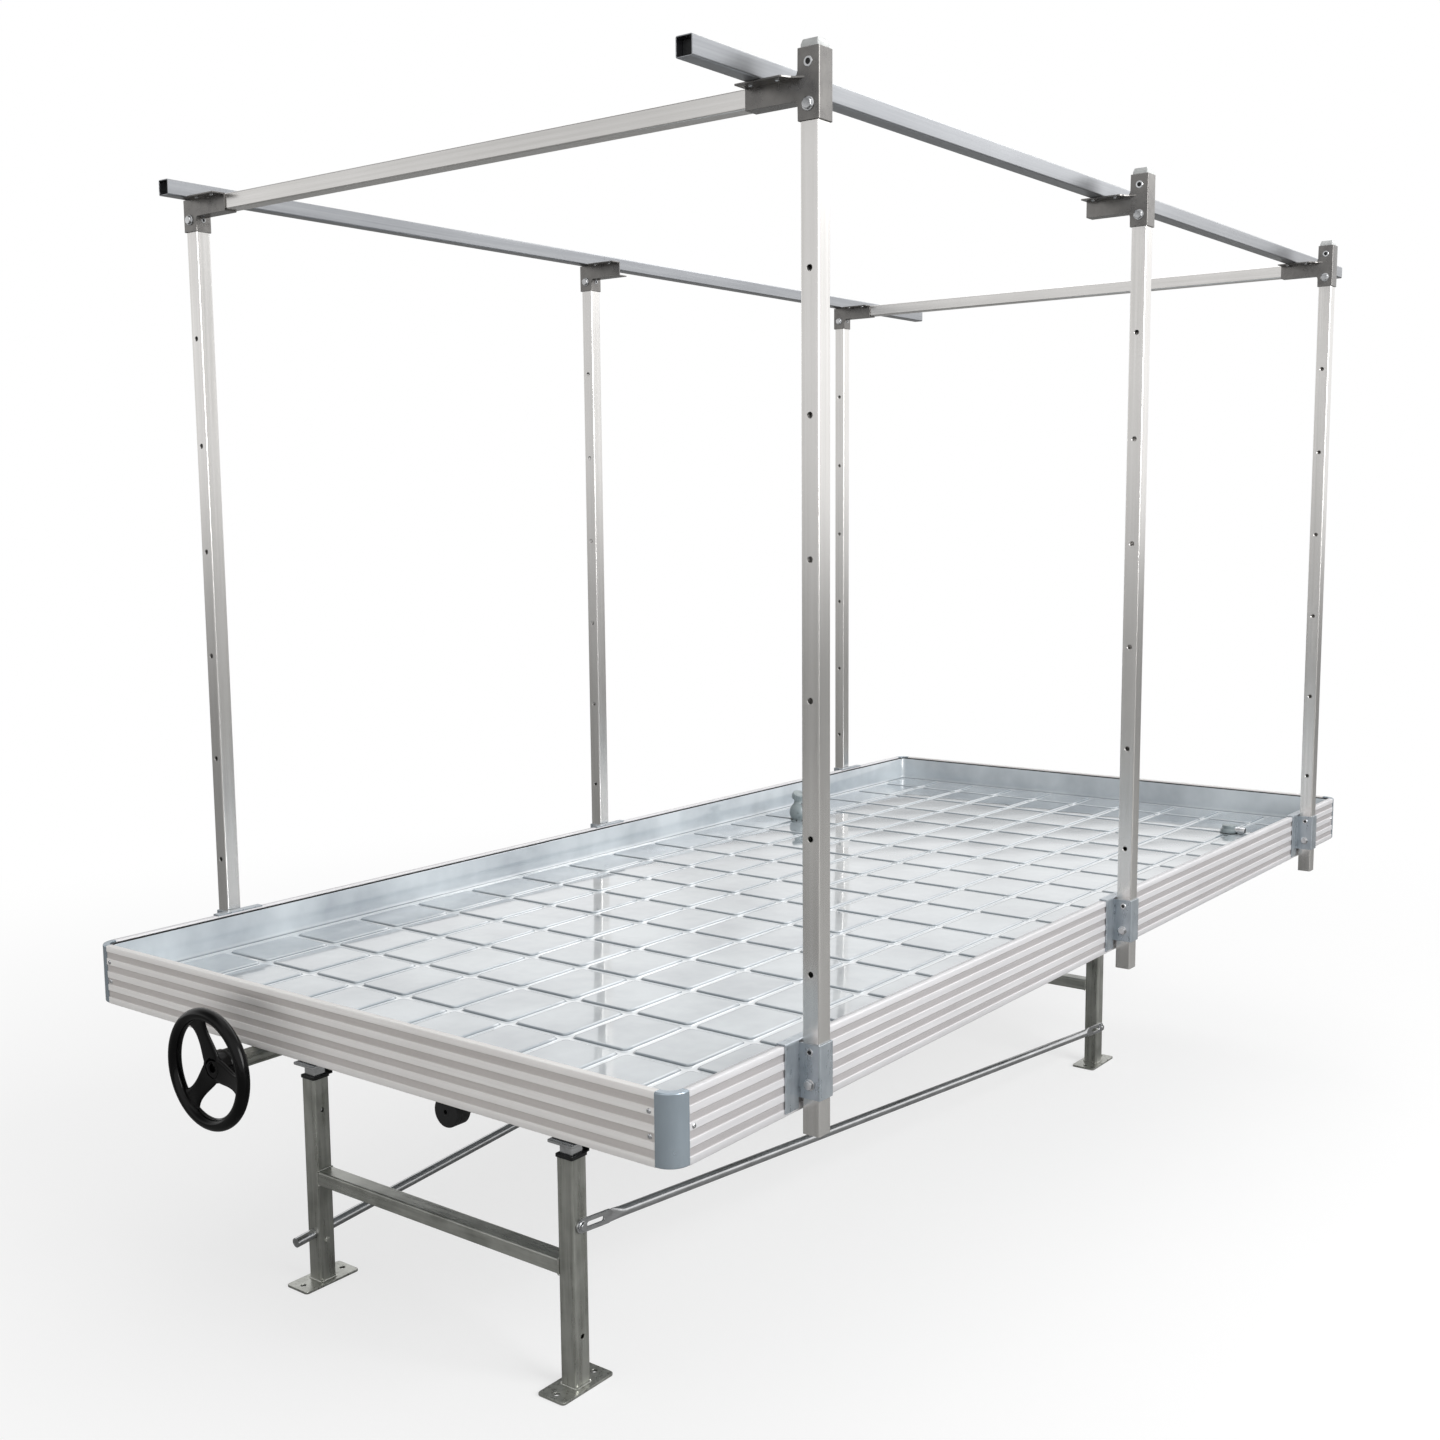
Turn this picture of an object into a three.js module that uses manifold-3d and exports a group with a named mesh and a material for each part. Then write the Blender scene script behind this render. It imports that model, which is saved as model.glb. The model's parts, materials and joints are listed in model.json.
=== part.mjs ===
// Rolling grow table with a plant support frame over it.
// x runs across the bench, y runs away from the handwheel, z runs up from the floor, all in millimetres.
import * as THREE from 'three';
import { mergeVertices } from 'three/addons/utils/BufferGeometryUtils.js';
import Module from 'manifold-3d';

const wasm = await Module();
wasm.setup();

// Gaps and roundness
const joinGap = 0.3;
const weldTolerance = 0.001;
const cutSpare = 1;
const boltRoot = 1;
const cornerSteps = 2;
const holeSteps = 8;
const smallSteps = 12;
const boltSteps = 6;
const roundSteps = 20;

// Bench outline
const benchWidth = 1524;
const benchLength = 3170;
const rimHeight = 690;
const benchHalf = benchWidth / 2;

// Edge profile of the bench, with ribbed bands outside
const profileHeight = 120;
const profileWall = 2.5;
const bandDepth = 1.5;
const bandHeight = 13.5;
const bandPairs = 4;
const lipReach = 14;
const lipThickness = 3;
const lipDrop = 12;
const shelfReach = 24;
const shelfThickness = 3;
const shelfRise = 41;
const beadReach = 7;
const beadHeight = 6;
const profileInner = bandDepth + profileWall;
const profileBottom = rimHeight - profileHeight;
const shelfTop = profileBottom + shelfRise;

// Corner pieces and their screws
const cornerReach = 38;
const cornerRadius = 36;
const tongueThickness = 3;
const tongueReach = 32;
const cornerInner = profileInner + joinGap + tongueThickness;
const cornerScrewInset = 10;
const cornerScrewRadius = 4.5;
const cornerScrewHead = 2.2;
const sideScrewBands = [4.5];
const endScrewBands = [6.5, 3.5];

// Growing tray
const trayInset = 15;
const trayWall = 3;
const trayRimDrop = 6;
const trayPlate = 4;
const padRise = 5;
const padTaper = 1.5;
const channelWidth = 13;
const padMargin = 47;
const columnCount = 10;
const rowPitch = 180;
const firstCrossChannel = 96;
const trayBottom = shelfTop + joinGap;
const channelBottom = trayBottom + trayPlate;

// Tray fittings on two channel crossings: a tall one near the left wall, a low one in the far right corner
const fittingHole = 16;
const fittingBore = 12;
const fittingFlange = 26;
const fittingFlangeThickness = 3;
const fittingPocket = 28;
const fittingBulb = 24;
const fittingNeck = 15;
const fittingCap = 19;
const fittingNozzle = 9;
const fittingNozzleReach = 48;
const fittingNutRadius = 24;
const fittingNutHeight = 12;
const fittingTail = 30;
const fittingShares = {
  bulbLow: 0.22,
  bulbHigh: 0.42,
  neck: 0.64,
  capLow: 0.72,
  capHigh: 0.92,
  nozzle: 0.5,
};
const trayFittings = [
  { name: 'tall_tray_fitting', column: 1, rowsFromEnd: 5, rise: 100 },
  { name: 'low_tray_fitting', column: 9, rowsFromEnd: 2, rise: 28 },
];

// Cross members under the tray
const memberWidth = 40;
const memberWall = 2;
const memberCount = 4;
const memberInset = 300;
const memberDrop = 1;
const memberTongueTop = 3;
const memberTop = shelfTop;
const memberBottom = profileBottom - memberDrop;

// Roller pipes
const pipeRadius = 16.7;
const pipeWall = 2.6;
const pipeOffset = 256;
const pipeEndInset = 70;
const leftPipeStart = -60;
const rightPipeStart = 14;
const pipeHeight = memberBottom - joinGap - pipeRadius;
const pipeEnd = benchLength - pipeEndInset;

// Plastic cups on the front ends of the pipes
const cupRadius = 28;
const cupLength = 40;
const cupChamfer = 8;
const cupFloor = 4;
const rightCupStart = 9;
const leftCupStart = -65;

// Handwheel
const wheelRadius = 115;
const wheelTube = 12.5;
const wheelPlane = -97;
const wheelWeb = 8;
const wheelWebBack = -84;
const wheelHubRadius = 30;
const wheelHubFront = -90;
const spokeInnerWidth = 40;
const spokeOuterWidth = 30;
const windowInner = 34;
const spokeAngles = [110, 230, 350];
const wheelSteps = 36;
const wheelTubeSteps = 8;
const windowSteps = 6;
const degree = Math.PI / 180;

// Stands
const legSide = 38;
const legWall = 2;
const legCorner = 4;
const legDrop = 260;
const legTop = rimHeight - legDrop;
const legOffset = 350;
const frontStand = 217;
const rearStandInset = 785;
const rearStand = benchLength - rearStandInset;
const footWidth = 64;
const footLength = 135;
const footThickness = 5;
const footCorner = 6;
const footHoleRadius = 6;
const footHoleOffset = 50;
const legHoleRadius = 5;
const standBarWidth = 38;
const standBarHeight = 30;
const standBarTop = 240;
const upperHoleDrop = 66;
const upperLegHole = legTop - upperHoleDrop;
const lowerLegHole = 98;

// Black bushes in the leg tops
const bushSide = 42;
const bushFlange = 6;
const bushDepth = 40;
const bushSlack = 0.6;
const hookWidth = 24;
const hookReach = 14;
const hookThickness = 3;
const hookRise = 9;

// Lift frames: inner legs, top plates and the rail that the pipes roll on
const innerLegSide = 30;
const innerLegWall = 2;
const innerLegCorner = 2;
const innerLegInside = 230;
const innerLegBottom = legTop - innerLegInside;
const liftPlateSide = 60;
const liftPlateThickness = 5;
const rollRailWidth = 38;
const rollRailHeight = 72;
const rollRailWall = 2.5;
const rollRailHalf = 400;
const rollRailTop = pipeHeight - pipeRadius - joinGap;
const rollRailBottom = rollRailTop - rollRailHeight;

// Braces between the stands
const braceRadius = 10;
const braceWall = 2;
const braceTabWidth = 26;
const braceTabThickness = 4;
const braceTabLength = 80;
const braceSwage = 35;
const braceSlotWidth = 9;
const braceSlotLength = 46;
const braceHigh = 305;
const braceLow = 106;
const braceStub = 45;
const braceBoltRadius = 8;
const braceBoltHead = 6;
const pinHeadRadius = 6;
const pinHeadThickness = 4;
const pinHeight = 88;

// Posts of the plant support frame
const postSide = 34;
const postWall = 2;
const postCorner = 2;
const postInset = 345;
const postStandOff = 7;
const postFootDrop = 158;
const postBottom = rimHeight - postFootDrop;
const armTop = 2216;
const postOverArm = 42;
const postHoleRadius = 5;
const postHoleCount = 6;
const postHoleSteps = 6;
const topHoleDrop = 286;
const lowHoleRise = 115;
const lowPostHole = rimHeight + lowHoleRise;
const rightPostTop = armTop + postOverArm;
const topPostHole = armTop - topHoleDrop;
const postHolePitch = (topPostHole - lowPostHole) / (postHoleCount - 1);
const postOffset = benchHalf + postStandOff + postSide / 2;
const postRows = { front: postInset, middle: benchLength / 2, rear: benchLength - postInset };

// Caps on the right posts
const capRise = 13;
const capTopSide = 27;
const capPlug = 14;
const capStep = 5;

// Lower brackets, which hang on the rim and hold the posts
const bracketWall = 3;
const postSlack = 0.5;
const flangeReach = 58;
const flangeDrop = 114;
const socketHeight = 94;
const socketTopDrop = 1;
const rimHookReach = 16;
const lowerBoltRise = 25;
const lowerHoleDrop = 14;
const bracketHoleRadius = 4.5;
const bracketBoltRadius = 9;
const bracketBoltHead = 7;
const flangeBottom = rimHeight - flangeDrop;
const socketTop = rimHeight - socketTopDrop;
const socketBottom = socketTop - socketHeight;
const lowerBoltHeight = socketBottom + lowerBoltRise;
const lowerHoleHeight = socketTop - lowerHoleDrop;

// Top brackets, rails and crossbars
const sleeveWall = 2.5;
const sleeveDrop = 66;
const armHeight = 36;
const armReach = 100;
const armSheet = 3;
const armFloorDepth = 30;
const ledgeDepth = 30;
const ledgeTaper = 16;
const topBoltDrop = 42;
const sleeveHoleRise = 20;
const railSide = 32;
const railWall = 2;
const railCorner = 2;
const railInset = 86;
const leftRailStart = 265;
const rightRailStart = 130;
const railShortfall = 120;
const railJointShift = 40;
const railLength = benchLength - railShortfall;
const railJoint = benchLength / 2 + railJointShift;
const crossbarGap = 1;
const sleeveHalf = postSide / 2 + joinGap + sleeveWall;
const armBottom = armTop - armHeight;
const sleeveBottom = armTop - sleeveDrop;
const topBoltHeight = armTop - topBoltDrop;
const topHoleHeight = armTop + sleeveHoleRise;

// The object is centred from the front of the handwheel to the rear end of the left rail
const frontEnd = wheelPlane - wheelTube;
const rearEnd = leftRailStart + railLength;
const middleShift = -(frontEnd + rearEnd) / 2;

const finish = (colour, roughness, metalness) =>
  new THREE.MeshStandardMaterial({ color: colour, roughness, metalness });
const brightAluminium = finish('#c6c2bf', 0.35, 1);
const ribbedAluminium = finish('#c9c3c1', 0.42, 1);
const castGrey = finish('#93a0ab', 0.4, 0.8);
const traySheet = finish('#d5dde2', 0.18, 0);
const zincSteel = finish('#8c949d', 0.42, 1);
const darkSteel = finish('#63656a', 0.5, 0.9);
const galvanised = finish('#74756f', 0.48, 1);
const brightSteel = finish('#a7a9ab', 0.32, 1);
const blackPlastic = finish('#101112', 0.35, 0);
const fittingGrey = finish('#8d9799', 0.35, 0);
const palePlastic = finish('#e6e8e9', 0.4, 0);

// Turn a closed geometry into a solid that can be joined and cut.
function solid(geometry) {
  const bare = geometry.clone();
  bare.deleteAttribute('normal');
  bare.deleteAttribute('uv');
  const merged = mergeVertices(bare, weldTolerance);
  return new wasm.Manifold(new wasm.Mesh({
    numProp: merged.attributes.position.itemSize,
    vertProperties: new Float32Array(merged.attributes.position.array),
    triVerts: new Uint32Array(merged.index.array),
  }));
}

const join = (...bodies) => bodies.reduce((whole, body) => whole.add(body));
const cut = (body, ...tools) => tools.reduce((left, tool) => left.subtract(tool), body);

// Shapes are drawn flat and swept along one axis between two places.
function sweep(shape, from, to, axis) {
  const geometry = new THREE.ExtrudeGeometry(shape, { depth: to - from, bevelEnabled: false });
  if (axis === 'x') {
    const turn = new THREE.Matrix4().makeBasis(
      new THREE.Vector3(0, 1, 0),
      new THREE.Vector3(0, 0, 1),
      new THREE.Vector3(1, 0, 0),
    );
    geometry.applyMatrix4(turn).translate(from, 0, 0);
  }
  if (axis === 'y') {
    geometry.rotateX(Math.PI / 2).translate(0, to, 0);
  }
  if (axis === 'z') {
    geometry.translate(0, 0, from);
  }
  return solid(geometry);
}

const outline = (points) => new THREE.Shape(points.map(([across, up]) => new THREE.Vector2(across, up)));

// A rectangle round a middle point, with rounded corners when a radius is given.
function plate(width, height, radius = 0, across = 0, up = 0, steps = cornerSteps) {
  const points = [];
  const [halfWidth, halfHeight] = [width / 2 - radius, height / 2 - radius];
  [[1, 1], [-1, 1], [-1, -1], [1, -1]].forEach(([signX, signY], corner) => {
    for (let step = 0; step <= (radius > 0 ? steps : 0); step += 1) {
      const angle = (corner + step / steps) * Math.PI / 2;
      points.push([
        across + signX * halfWidth + radius * Math.cos(angle),
        up + signY * halfHeight + radius * Math.sin(angle),
      ]);
    }
  });
  return outline(points);
}

// A hollow rectangular bar, open at both ends.
function tube(size, wall, radius, middle, [from, to], axis) {
  const outer = sweep(plate(...size, radius, ...middle), from, to, axis);
  const hollow = plate(...size.map((side) => side - 2 * wall), 0, ...middle);
  return cut(outer, sweep(hollow, from - cutSpare, to + cutSpare, axis));
}

function block([x0, x1], [y0, y1], [z0, z1]) {
  const geometry = new THREE.BoxGeometry(x1 - x0, y1 - y0, z1 - z0);
  geometry.translate((x0 + x1) / 2, (y0 + y1) / 2, (z0 + z1) / 2);
  return solid(geometry);
}

// A round bar along an axis; the two places give its middle line in the order x, y, z without that axis.
function rod(radius, from, to, axis, [first, second], steps = roundSteps, endRadius = radius) {
  const geometry = new THREE.CylinderGeometry(endRadius, radius, to - from, steps);
  geometry.translate(0, (from + to) / 2, 0);
  if (axis === 'x') {
    geometry.rotateZ(-Math.PI / 2).translate(0, first, second);
  }
  if (axis === 'y') {
    geometry.translate(first, 0, second);
  }
  if (axis === 'z') {
    geometry.rotateX(Math.PI / 2).translate(first, second, 0);
  }
  return solid(geometry);
}

// A hexagon bolt head standing out of a face along an axis.
function boltHead(face, direction, axis, middle, radius, head) {
  const [inside, outside] = [face - direction * boltRoot, face + direction * head];
  return rod(radius, Math.min(inside, outside), Math.max(inside, outside), axis, middle, boltSteps);
}

const group = new THREE.Group();

// Put a finished solid into the group as a named mesh.
function place(name, body, material) {
  const result = body.getMesh();
  const geometry = new THREE.BufferGeometry();
  geometry.setAttribute('position', new THREE.BufferAttribute(new Float32Array(result.vertProperties), 3));
  geometry.setIndex(new THREE.BufferAttribute(new Uint32Array(result.triVerts), 1));
  geometry.translate(0, middleShift, 0);
  geometry.computeVertexNormals();
  const mesh = new THREE.Mesh(geometry, material);
  mesh.name = name;
  group.add(mesh);
}

// Section of the edge profile: how far in from the outer face, and how far up from its bottom.
function profileSection() {
  const bands = [];
  for (let pair = 0; pair < bandPairs; pair += 1) {
    const low = pair * 2 * bandHeight;
    bands.push([0, low], [0, low + bandHeight]);
    bands.push([bandDepth, low + bandHeight], [bandDepth, low + 2 * bandHeight]);
  }
  const face = bands.reverse();
  return [
    [beadReach, 0],
    [beadReach, beadHeight],
    [profileInner, beadHeight],
    [profileInner, shelfRise - shelfThickness],
    [shelfReach, shelfRise - shelfThickness],
    [shelfReach, shelfRise],
    [profileInner, shelfRise],
    [profileInner, profileHeight - lipThickness],
    [lipReach - lipThickness, profileHeight - lipThickness],
    [lipReach - lipThickness, profileHeight - lipDrop],
    [lipReach, profileHeight - lipDrop],
    [lipReach, profileHeight],
    [0, profileHeight],
    [0, 2 * bandPairs * bandHeight],
    ...face,
  ];
}

// Side profiles run along y and end profiles along x; each carries the screw heads of its two corners.
function sideProfile(side) {
  const shape = outline(profileSection().map(([depth, up]) => [
    side * (benchHalf - depth),
    profileBottom + up,
  ]));
  const [start, end] = [cornerReach + joinGap, benchLength - cornerReach - joinGap];
  const face = side * (benchHalf - bandDepth);
  const heads = [start + cornerScrewInset, end - cornerScrewInset].flatMap((along) =>
    sideScrewBands.map((band) => {
      const [a, b] = [face - side * cornerScrewHead / 2, side * benchHalf + side * cornerScrewHead];
      const spot = [along, profileBottom + band * bandHeight];
      return rod(cornerScrewRadius, Math.min(a, b), Math.max(a, b), 'x', spot, holeSteps);
    }));
  return join(sweep(shape, start, end, 'y'), ...heads);
}

function endProfile(far) {
  const inward = far ? -1 : 1;
  const face = far ? benchLength : 0;
  const shape = outline(profileSection().map(([depth, up]) => [face + inward * depth, profileBottom + up]));
  const end = benchHalf - cornerReach - joinGap;
  const heads = [-end + cornerScrewInset, end - cornerScrewInset].flatMap((across) =>
    endScrewBands.map((band) => {
      const inside = face + inward * (bandDepth + cornerScrewHead / 2);
      const outside = face - inward * cornerScrewHead;
      const spot = [across, profileBottom + band * bandHeight];
      const [low, high] = [Math.min(inside, outside), Math.max(inside, outside)];
      return rod(cornerScrewRadius, low, high, 'y', spot, holeSteps);
    }));
  return join(sweep(shape, -end, end, 'x'), ...heads);
}

// Plan of a corner piece as a bent band of the given thickness, drawn for one corner of the bench.
function cornerBand(side, far, thickness, reach) {
  const inward = far ? -1 : 1;
  const edge = far ? benchLength : 0;
  const points = [];
  for (let step = 0; step <= boltSteps; step += 1) {
    const angle = step / boltSteps * Math.PI / 2;
    points.push([cornerRadius * (1 - Math.sin(angle)), cornerRadius * (1 - Math.cos(angle))]);
  }
  const inner = points.map(([a, b]) => {
    const share = (cornerRadius - thickness) / cornerRadius;
    return [cornerRadius - (cornerRadius - a) * share, cornerRadius - (cornerRadius - b) * share];
  });
  const band = [
    [reach, 0],
    ...points,
    [0, reach],
    [thickness, reach],
    ...inner.reverse(),
    [reach, thickness],
  ];
  return outline(band.map(([depth, along]) => [side * (benchHalf - depth), edge + inward * along]));
}

// A corner piece: smooth round face, closed top and two tongues that go behind the profile ends.
function cornerPiece(side, far) {
  const inward = far ? -1 : 1;
  const edge = far ? benchLength : 0;
  const shell = sweep(cornerBand(side, far, cornerInner, cornerReach), profileBottom, rimHeight, 'z');
  const top = sweep(cornerBand(side, far, lipReach, cornerReach), rimHeight - lipThickness, rimHeight, 'z');
  const [low, high] = [shelfTop + joinGap, rimHeight - lipDrop - joinGap];
  const tongue = (depths, alongs) => {
    const xs = depths.map((depth) => side * (benchHalf - depth)).sort((a, b) => a - b);
    const ys = alongs.map((along) => edge + inward * along).sort((a, b) => a - b);
    return block(xs, ys, [low, high]);
  };
  const behind = [profileInner + joinGap, cornerInner];
  const length = [cornerReach - tongueReach / 2, cornerReach + tongueReach];
  return join(shell, top, tongue(behind, length), tongue(length, behind));
}

// One raised pad of the tray: four sloping sides from the channel floor up to a flat top.
function pad([x0, x1], [y0, y1]) {
  const top = channelBottom + padRise;
  const bottom = channelBottom - trayPlate / 2;
  const geometry = new THREE.BoxGeometry(x1 - x0, y1 - y0, top - bottom);
  geometry.translate((x0 + x1) / 2, (y0 + y1) / 2, (top + bottom) / 2);
  const spots = geometry.attributes.position;
  for (let index = 0; index < spots.count; index += 1) {
    if (spots.getZ(index) > channelBottom) {
      spots.setX(index, spots.getX(index) + (spots.getX(index) < (x0 + x1) / 2 ? padTaper : -padTaper));
      spots.setY(index, spots.getY(index) + (spots.getY(index) < (y0 + y1) / 2 ? padTaper : -padTaper));
    }
  }
  return solid(geometry);
}

const columnPitch = (benchWidth - 2 * padMargin) / columnCount;
const columnLine = (column) => -benchHalf + padMargin + column * columnPitch;
const rowLines = [padMargin];
for (let line = firstCrossChannel; line < benchLength - firstCrossChannel; line += rowPitch) {
  rowLines.push(line);
}
rowLines.push(benchLength - padMargin);

const fittingSpot = ({ column, rowsFromEnd }) => [
  columnLine(column),
  rowLines[rowLines.length - 1 - rowsFromEnd],
];

// The tray: a thin pan with a grid of raised pads and draining channels between them.
function tray() {
  const [wide, long] = [benchWidth - 2 * trayInset, benchLength - 2 * trayInset];
  const radius = cornerRadius - trayInset;
  const middle = benchLength / 2;
  const pan = sweep(plate(wide, long, radius, 0, middle), trayBottom, rimHeight - trayRimDrop, 'z');
  const hollow = plate(wide - 2 * trayWall, long - 2 * trayWall, radius - trayWall, 0, middle);
  const pads = [];
  const half = channelWidth / 2;
  for (let column = 0; column < columnCount; column += 1) {
    for (let row = 0; row + 1 < rowLines.length; row += 1) {
      pads.push(pad(
        [columnLine(column) + half, columnLine(column + 1) - half],
        [rowLines[row] + half, rowLines[row + 1] - half],
      ));
    }
  }
  const [under, above] = [trayBottom - cutSpare, channelBottom + padRise + cutSpare];
  const drains = trayFittings.map(fittingSpot).flatMap((spot) => [
    rod(fittingHole + joinGap, under, above, 'z', spot, smallSteps),
    rod(fittingPocket, channelBottom, above, 'z', spot, smallSteps),
  ]);
  const open = cut(pan, sweep(hollow, channelBottom, rimHeight, 'z'));
  return cut(join(open, wasm.Manifold.union(pads)), ...drains);
}

// A screwed fitting: turned body with a side nozzle in the tray, threaded tail and nut below it.
function trayFitting(fitting) {
  const spot = fittingSpot(fitting);
  const { rise } = fitting;
  const seat = channelBottom + joinGap;
  const under = trayBottom - joinGap;
  const profile = [
    [0, 0],
    [fittingFlange, 0],
    [fittingFlange, fittingFlangeThickness],
    [fittingBulb, rise * fittingShares.bulbLow],
    [fittingBulb, rise * fittingShares.bulbHigh],
    [fittingNeck, rise * fittingShares.neck],
    [fittingCap, rise * fittingShares.capLow],
    [fittingCap, rise * fittingShares.capHigh],
    [fittingNeck, rise],
    [0, rise],
  ].map(([radius, up]) => new THREE.Vector2(radius, up));
  const turned = new THREE.LatheGeometry(profile, smallSteps);
  turned.rotateX(Math.PI / 2).translate(...spot, seat);
  const nozzleHeight = seat + rise * fittingShares.nozzle;
  const body = join(
    solid(turned),
    rod(fittingNozzle, spot[0], spot[0] + fittingNozzleReach, 'x', [spot[1], nozzleHeight], holeSteps),
    rod(fittingHole, under - fittingTail, seat + fittingFlangeThickness / 2, 'z', spot, smallSteps),
    rod(fittingNutRadius, under - fittingNutHeight, under, 'z', spot, boltSteps),
  );
  return cut(body, rod(fittingBore, under - fittingTail - cutSpare, seat, 'z', spot, smallSteps));
}

// A square tube between the shelves of the side profiles, with lower solid tongues at both ends.
function crossMember(along) {
  const end = benchHalf - shelfReach - joinGap;
  const height = memberTop - memberBottom;
  const middle = [along, (memberTop + memberBottom) / 2];
  const ys = [along - memberWidth / 2, along + memberWidth / 2];
  const zs = [profileBottom + beadHeight + joinGap, shelfTop - shelfThickness - memberTongueTop];
  const outer = benchHalf - profileInner - joinGap;
  return join(
    tube([memberWidth, height], memberWall, 0, middle, [-end, end], 'x'),
    block([-outer, -end + memberTongueTop], ys, zs),
    block([end - memberTongueTop, outer], ys, zs),
  );
}

function rollerPipe(across, start) {
  const outer = rod(pipeRadius, start, pipeEnd, 'y', [across, pipeHeight]);
  const bore = rod(pipeRadius - pipeWall, start - cutSpare, pipeEnd + cutSpare, 'y', [across, pipeHeight]);
  return cut(outer, bore);
}

// A plastic cup that covers the front end of a pipe.
function pipeCup(across, start) {
  const spot = [across, pipeHeight];
  const end = start + cupLength;
  const body = join(
    rod(cupRadius, start, end - cupChamfer, 'y', spot, smallSteps),
    rod(cupRadius, end - cupChamfer, end, 'y', spot, smallSteps, cupRadius - cupChamfer),
  );
  return cut(body, rod(pipeRadius + joinGap, start + cupFloor, end + cutSpare, 'y', spot));
}

// The handwheel: round rim, three tapering spokes cut out of a web, and a hub set back from the rim.
function handwheel() {
  const ringRadius = wheelRadius - wheelTube;
  const ring = new THREE.TorusGeometry(ringRadius, wheelTube, wheelTubeSteps, wheelSteps);
  ring.rotateX(Math.PI / 2).translate(-pipeOffset, wheelPlane, pipeHeight);
  const spot = [-pipeOffset, pipeHeight];
  const web = rod(ringRadius, wheelWebBack - wheelWeb, wheelWebBack, 'y', spot, wheelSteps);
  const windowOuter = ringRadius - wheelTube / 2;
  const windows = spokeAngles.map((angle, index) => {
    const next = spokeAngles[(index + 1) % spokeAngles.length];
    const turn = (next - angle + 360) % 360;
    const edge = (radius, width) => Math.asin(width / 2 / radius) / degree;
    const arc = (radius, width, back) => {
      const [from, to] = [angle + edge(radius, width), angle + turn - edge(radius, width)];
      const steps = Array.from({ length: windowSteps + 1 }, (unused, step) => step / windowSteps);
      return steps.map((share) => {
        const at = (back ? to + (from - to) * share : from + (to - from) * share) * degree;
        return [-pipeOffset + radius * Math.cos(at), pipeHeight + radius * Math.sin(at)];
      });
    };
    const points = [
      ...arc(windowOuter, spokeOuterWidth, false),
      ...arc(windowInner, spokeInnerWidth, true),
    ];
    return sweep(outline(points), wheelWebBack - wheelWeb - cutSpare, wheelWebBack + cutSpare, 'y');
  });
  const hub = rod(wheelHubRadius, wheelHubFront, leftCupStart - joinGap, 'y', spot);
  return join(cut(web, ...windows), solid(ring), hub);
}

// An outer leg with its foot plate; the empty holes and the brace openings differ from leg to leg.
function leg(side, along, extras) {
  const across = side * legOffset;
  const upright = tube([legSide, legSide], legWall, legCorner, [across, along], [0, legTop], 'z');
  const foot = sweep(plate(footWidth, footLength, footCorner, across, along), 0, footThickness, 'z');
  const holes = [-footHoleOffset, footHoleOffset].map((offset) =>
    rod(footHoleRadius, -cutSpare, footThickness + cutSpare, 'z', [across, along + offset], holeSteps));
  const face = across + legSide / 2;
  const pinHole = (up) =>
    rod(legHoleRadius, face - 2 * legWall, face + cutSpare, 'x', [along, up], holeSteps);
  const cuts = [...holes, ...extras.holes.map(pinHole), ...extras.cuts];
  return join(cut(join(upright, foot), ...cuts), ...extras.adds);
}

function standBar(along) {
  const end = legOffset - legSide / 2 - joinGap;
  const middle = [along, standBarTop - standBarHeight / 2];
  return tube([standBarWidth, standBarHeight], legWall, legCorner, middle, [-end, end], 'x');
}

// The black bush in a leg top, with a small hook on its far side.
function legBush(side, along) {
  const across = side * legOffset;
  const bottom = legTop + joinGap;
  const hole = innerLegSide + 2 * joinGap;
  const liner = legSide - 2 * legWall - bushSlack;
  const hookEnd = along + bushSide / 2 + hookReach;
  const hookXs = [across - hookWidth / 2, across + hookWidth / 2];
  const body = join(
    sweep(plate(liner, liner, 0, across, along), legTop - bushDepth, bottom + bushFlange, 'z'),
    sweep(plate(bushSide, bushSide, legCorner, across, along), bottom, bottom + bushFlange, 'z'),
    block(hookXs, [along + legSide / 2, hookEnd], [bottom, bottom + hookThickness]),
    block(hookXs, [hookEnd - hookThickness, hookEnd], [bottom, bottom + bushFlange + hookRise]),
  );
  const bore = plate(hole, hole, 0, across, along);
  return cut(body, sweep(bore, legTop - bushDepth - cutSpare, bottom + bushFlange + cutSpare, 'z'));
}

// Two inner legs with top plates, welded under the rail that carries the roller pipes.
function liftFrame(along) {
  const plateBottom = rollRailBottom - liftPlateThickness;
  const carrier = tube([rollRailWidth, rollRailHeight], rollRailWall, legCorner,
    [along, rollRailBottom + rollRailHeight / 2], [-rollRailHalf, rollRailHalf], 'x');
  const legs = [-legOffset, legOffset].flatMap((across) => [
    tube([innerLegSide, innerLegSide], innerLegWall, innerLegCorner, [across, along],
      [innerLegBottom, plateBottom + liftPlateThickness / 2], 'z'),
    sweep(plate(liftPlateSide, liftPlateSide, innerLegCorner, across, along),
      plateBottom, rollRailBottom + rollRailWall / 2, 'z'),
  ]);
  return join(carrier, ...legs);
}

// Build a piece along +x from the origin and carry it to run from one point towards another.
function aim(body, from, to) {
  const along = new THREE.Vector3().subVectors(to, from).normalize();
  const flat = new THREE.Vector3(1, 0, 0);
  const up = new THREE.Vector3().crossVectors(flat, along).normalize();
  const out = new THREE.Vector3().crossVectors(along, up);
  const turn = new THREE.Matrix4().makeBasis(along, up, out).setPosition(from);
  return body.transform(turn.toArray());
}

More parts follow.
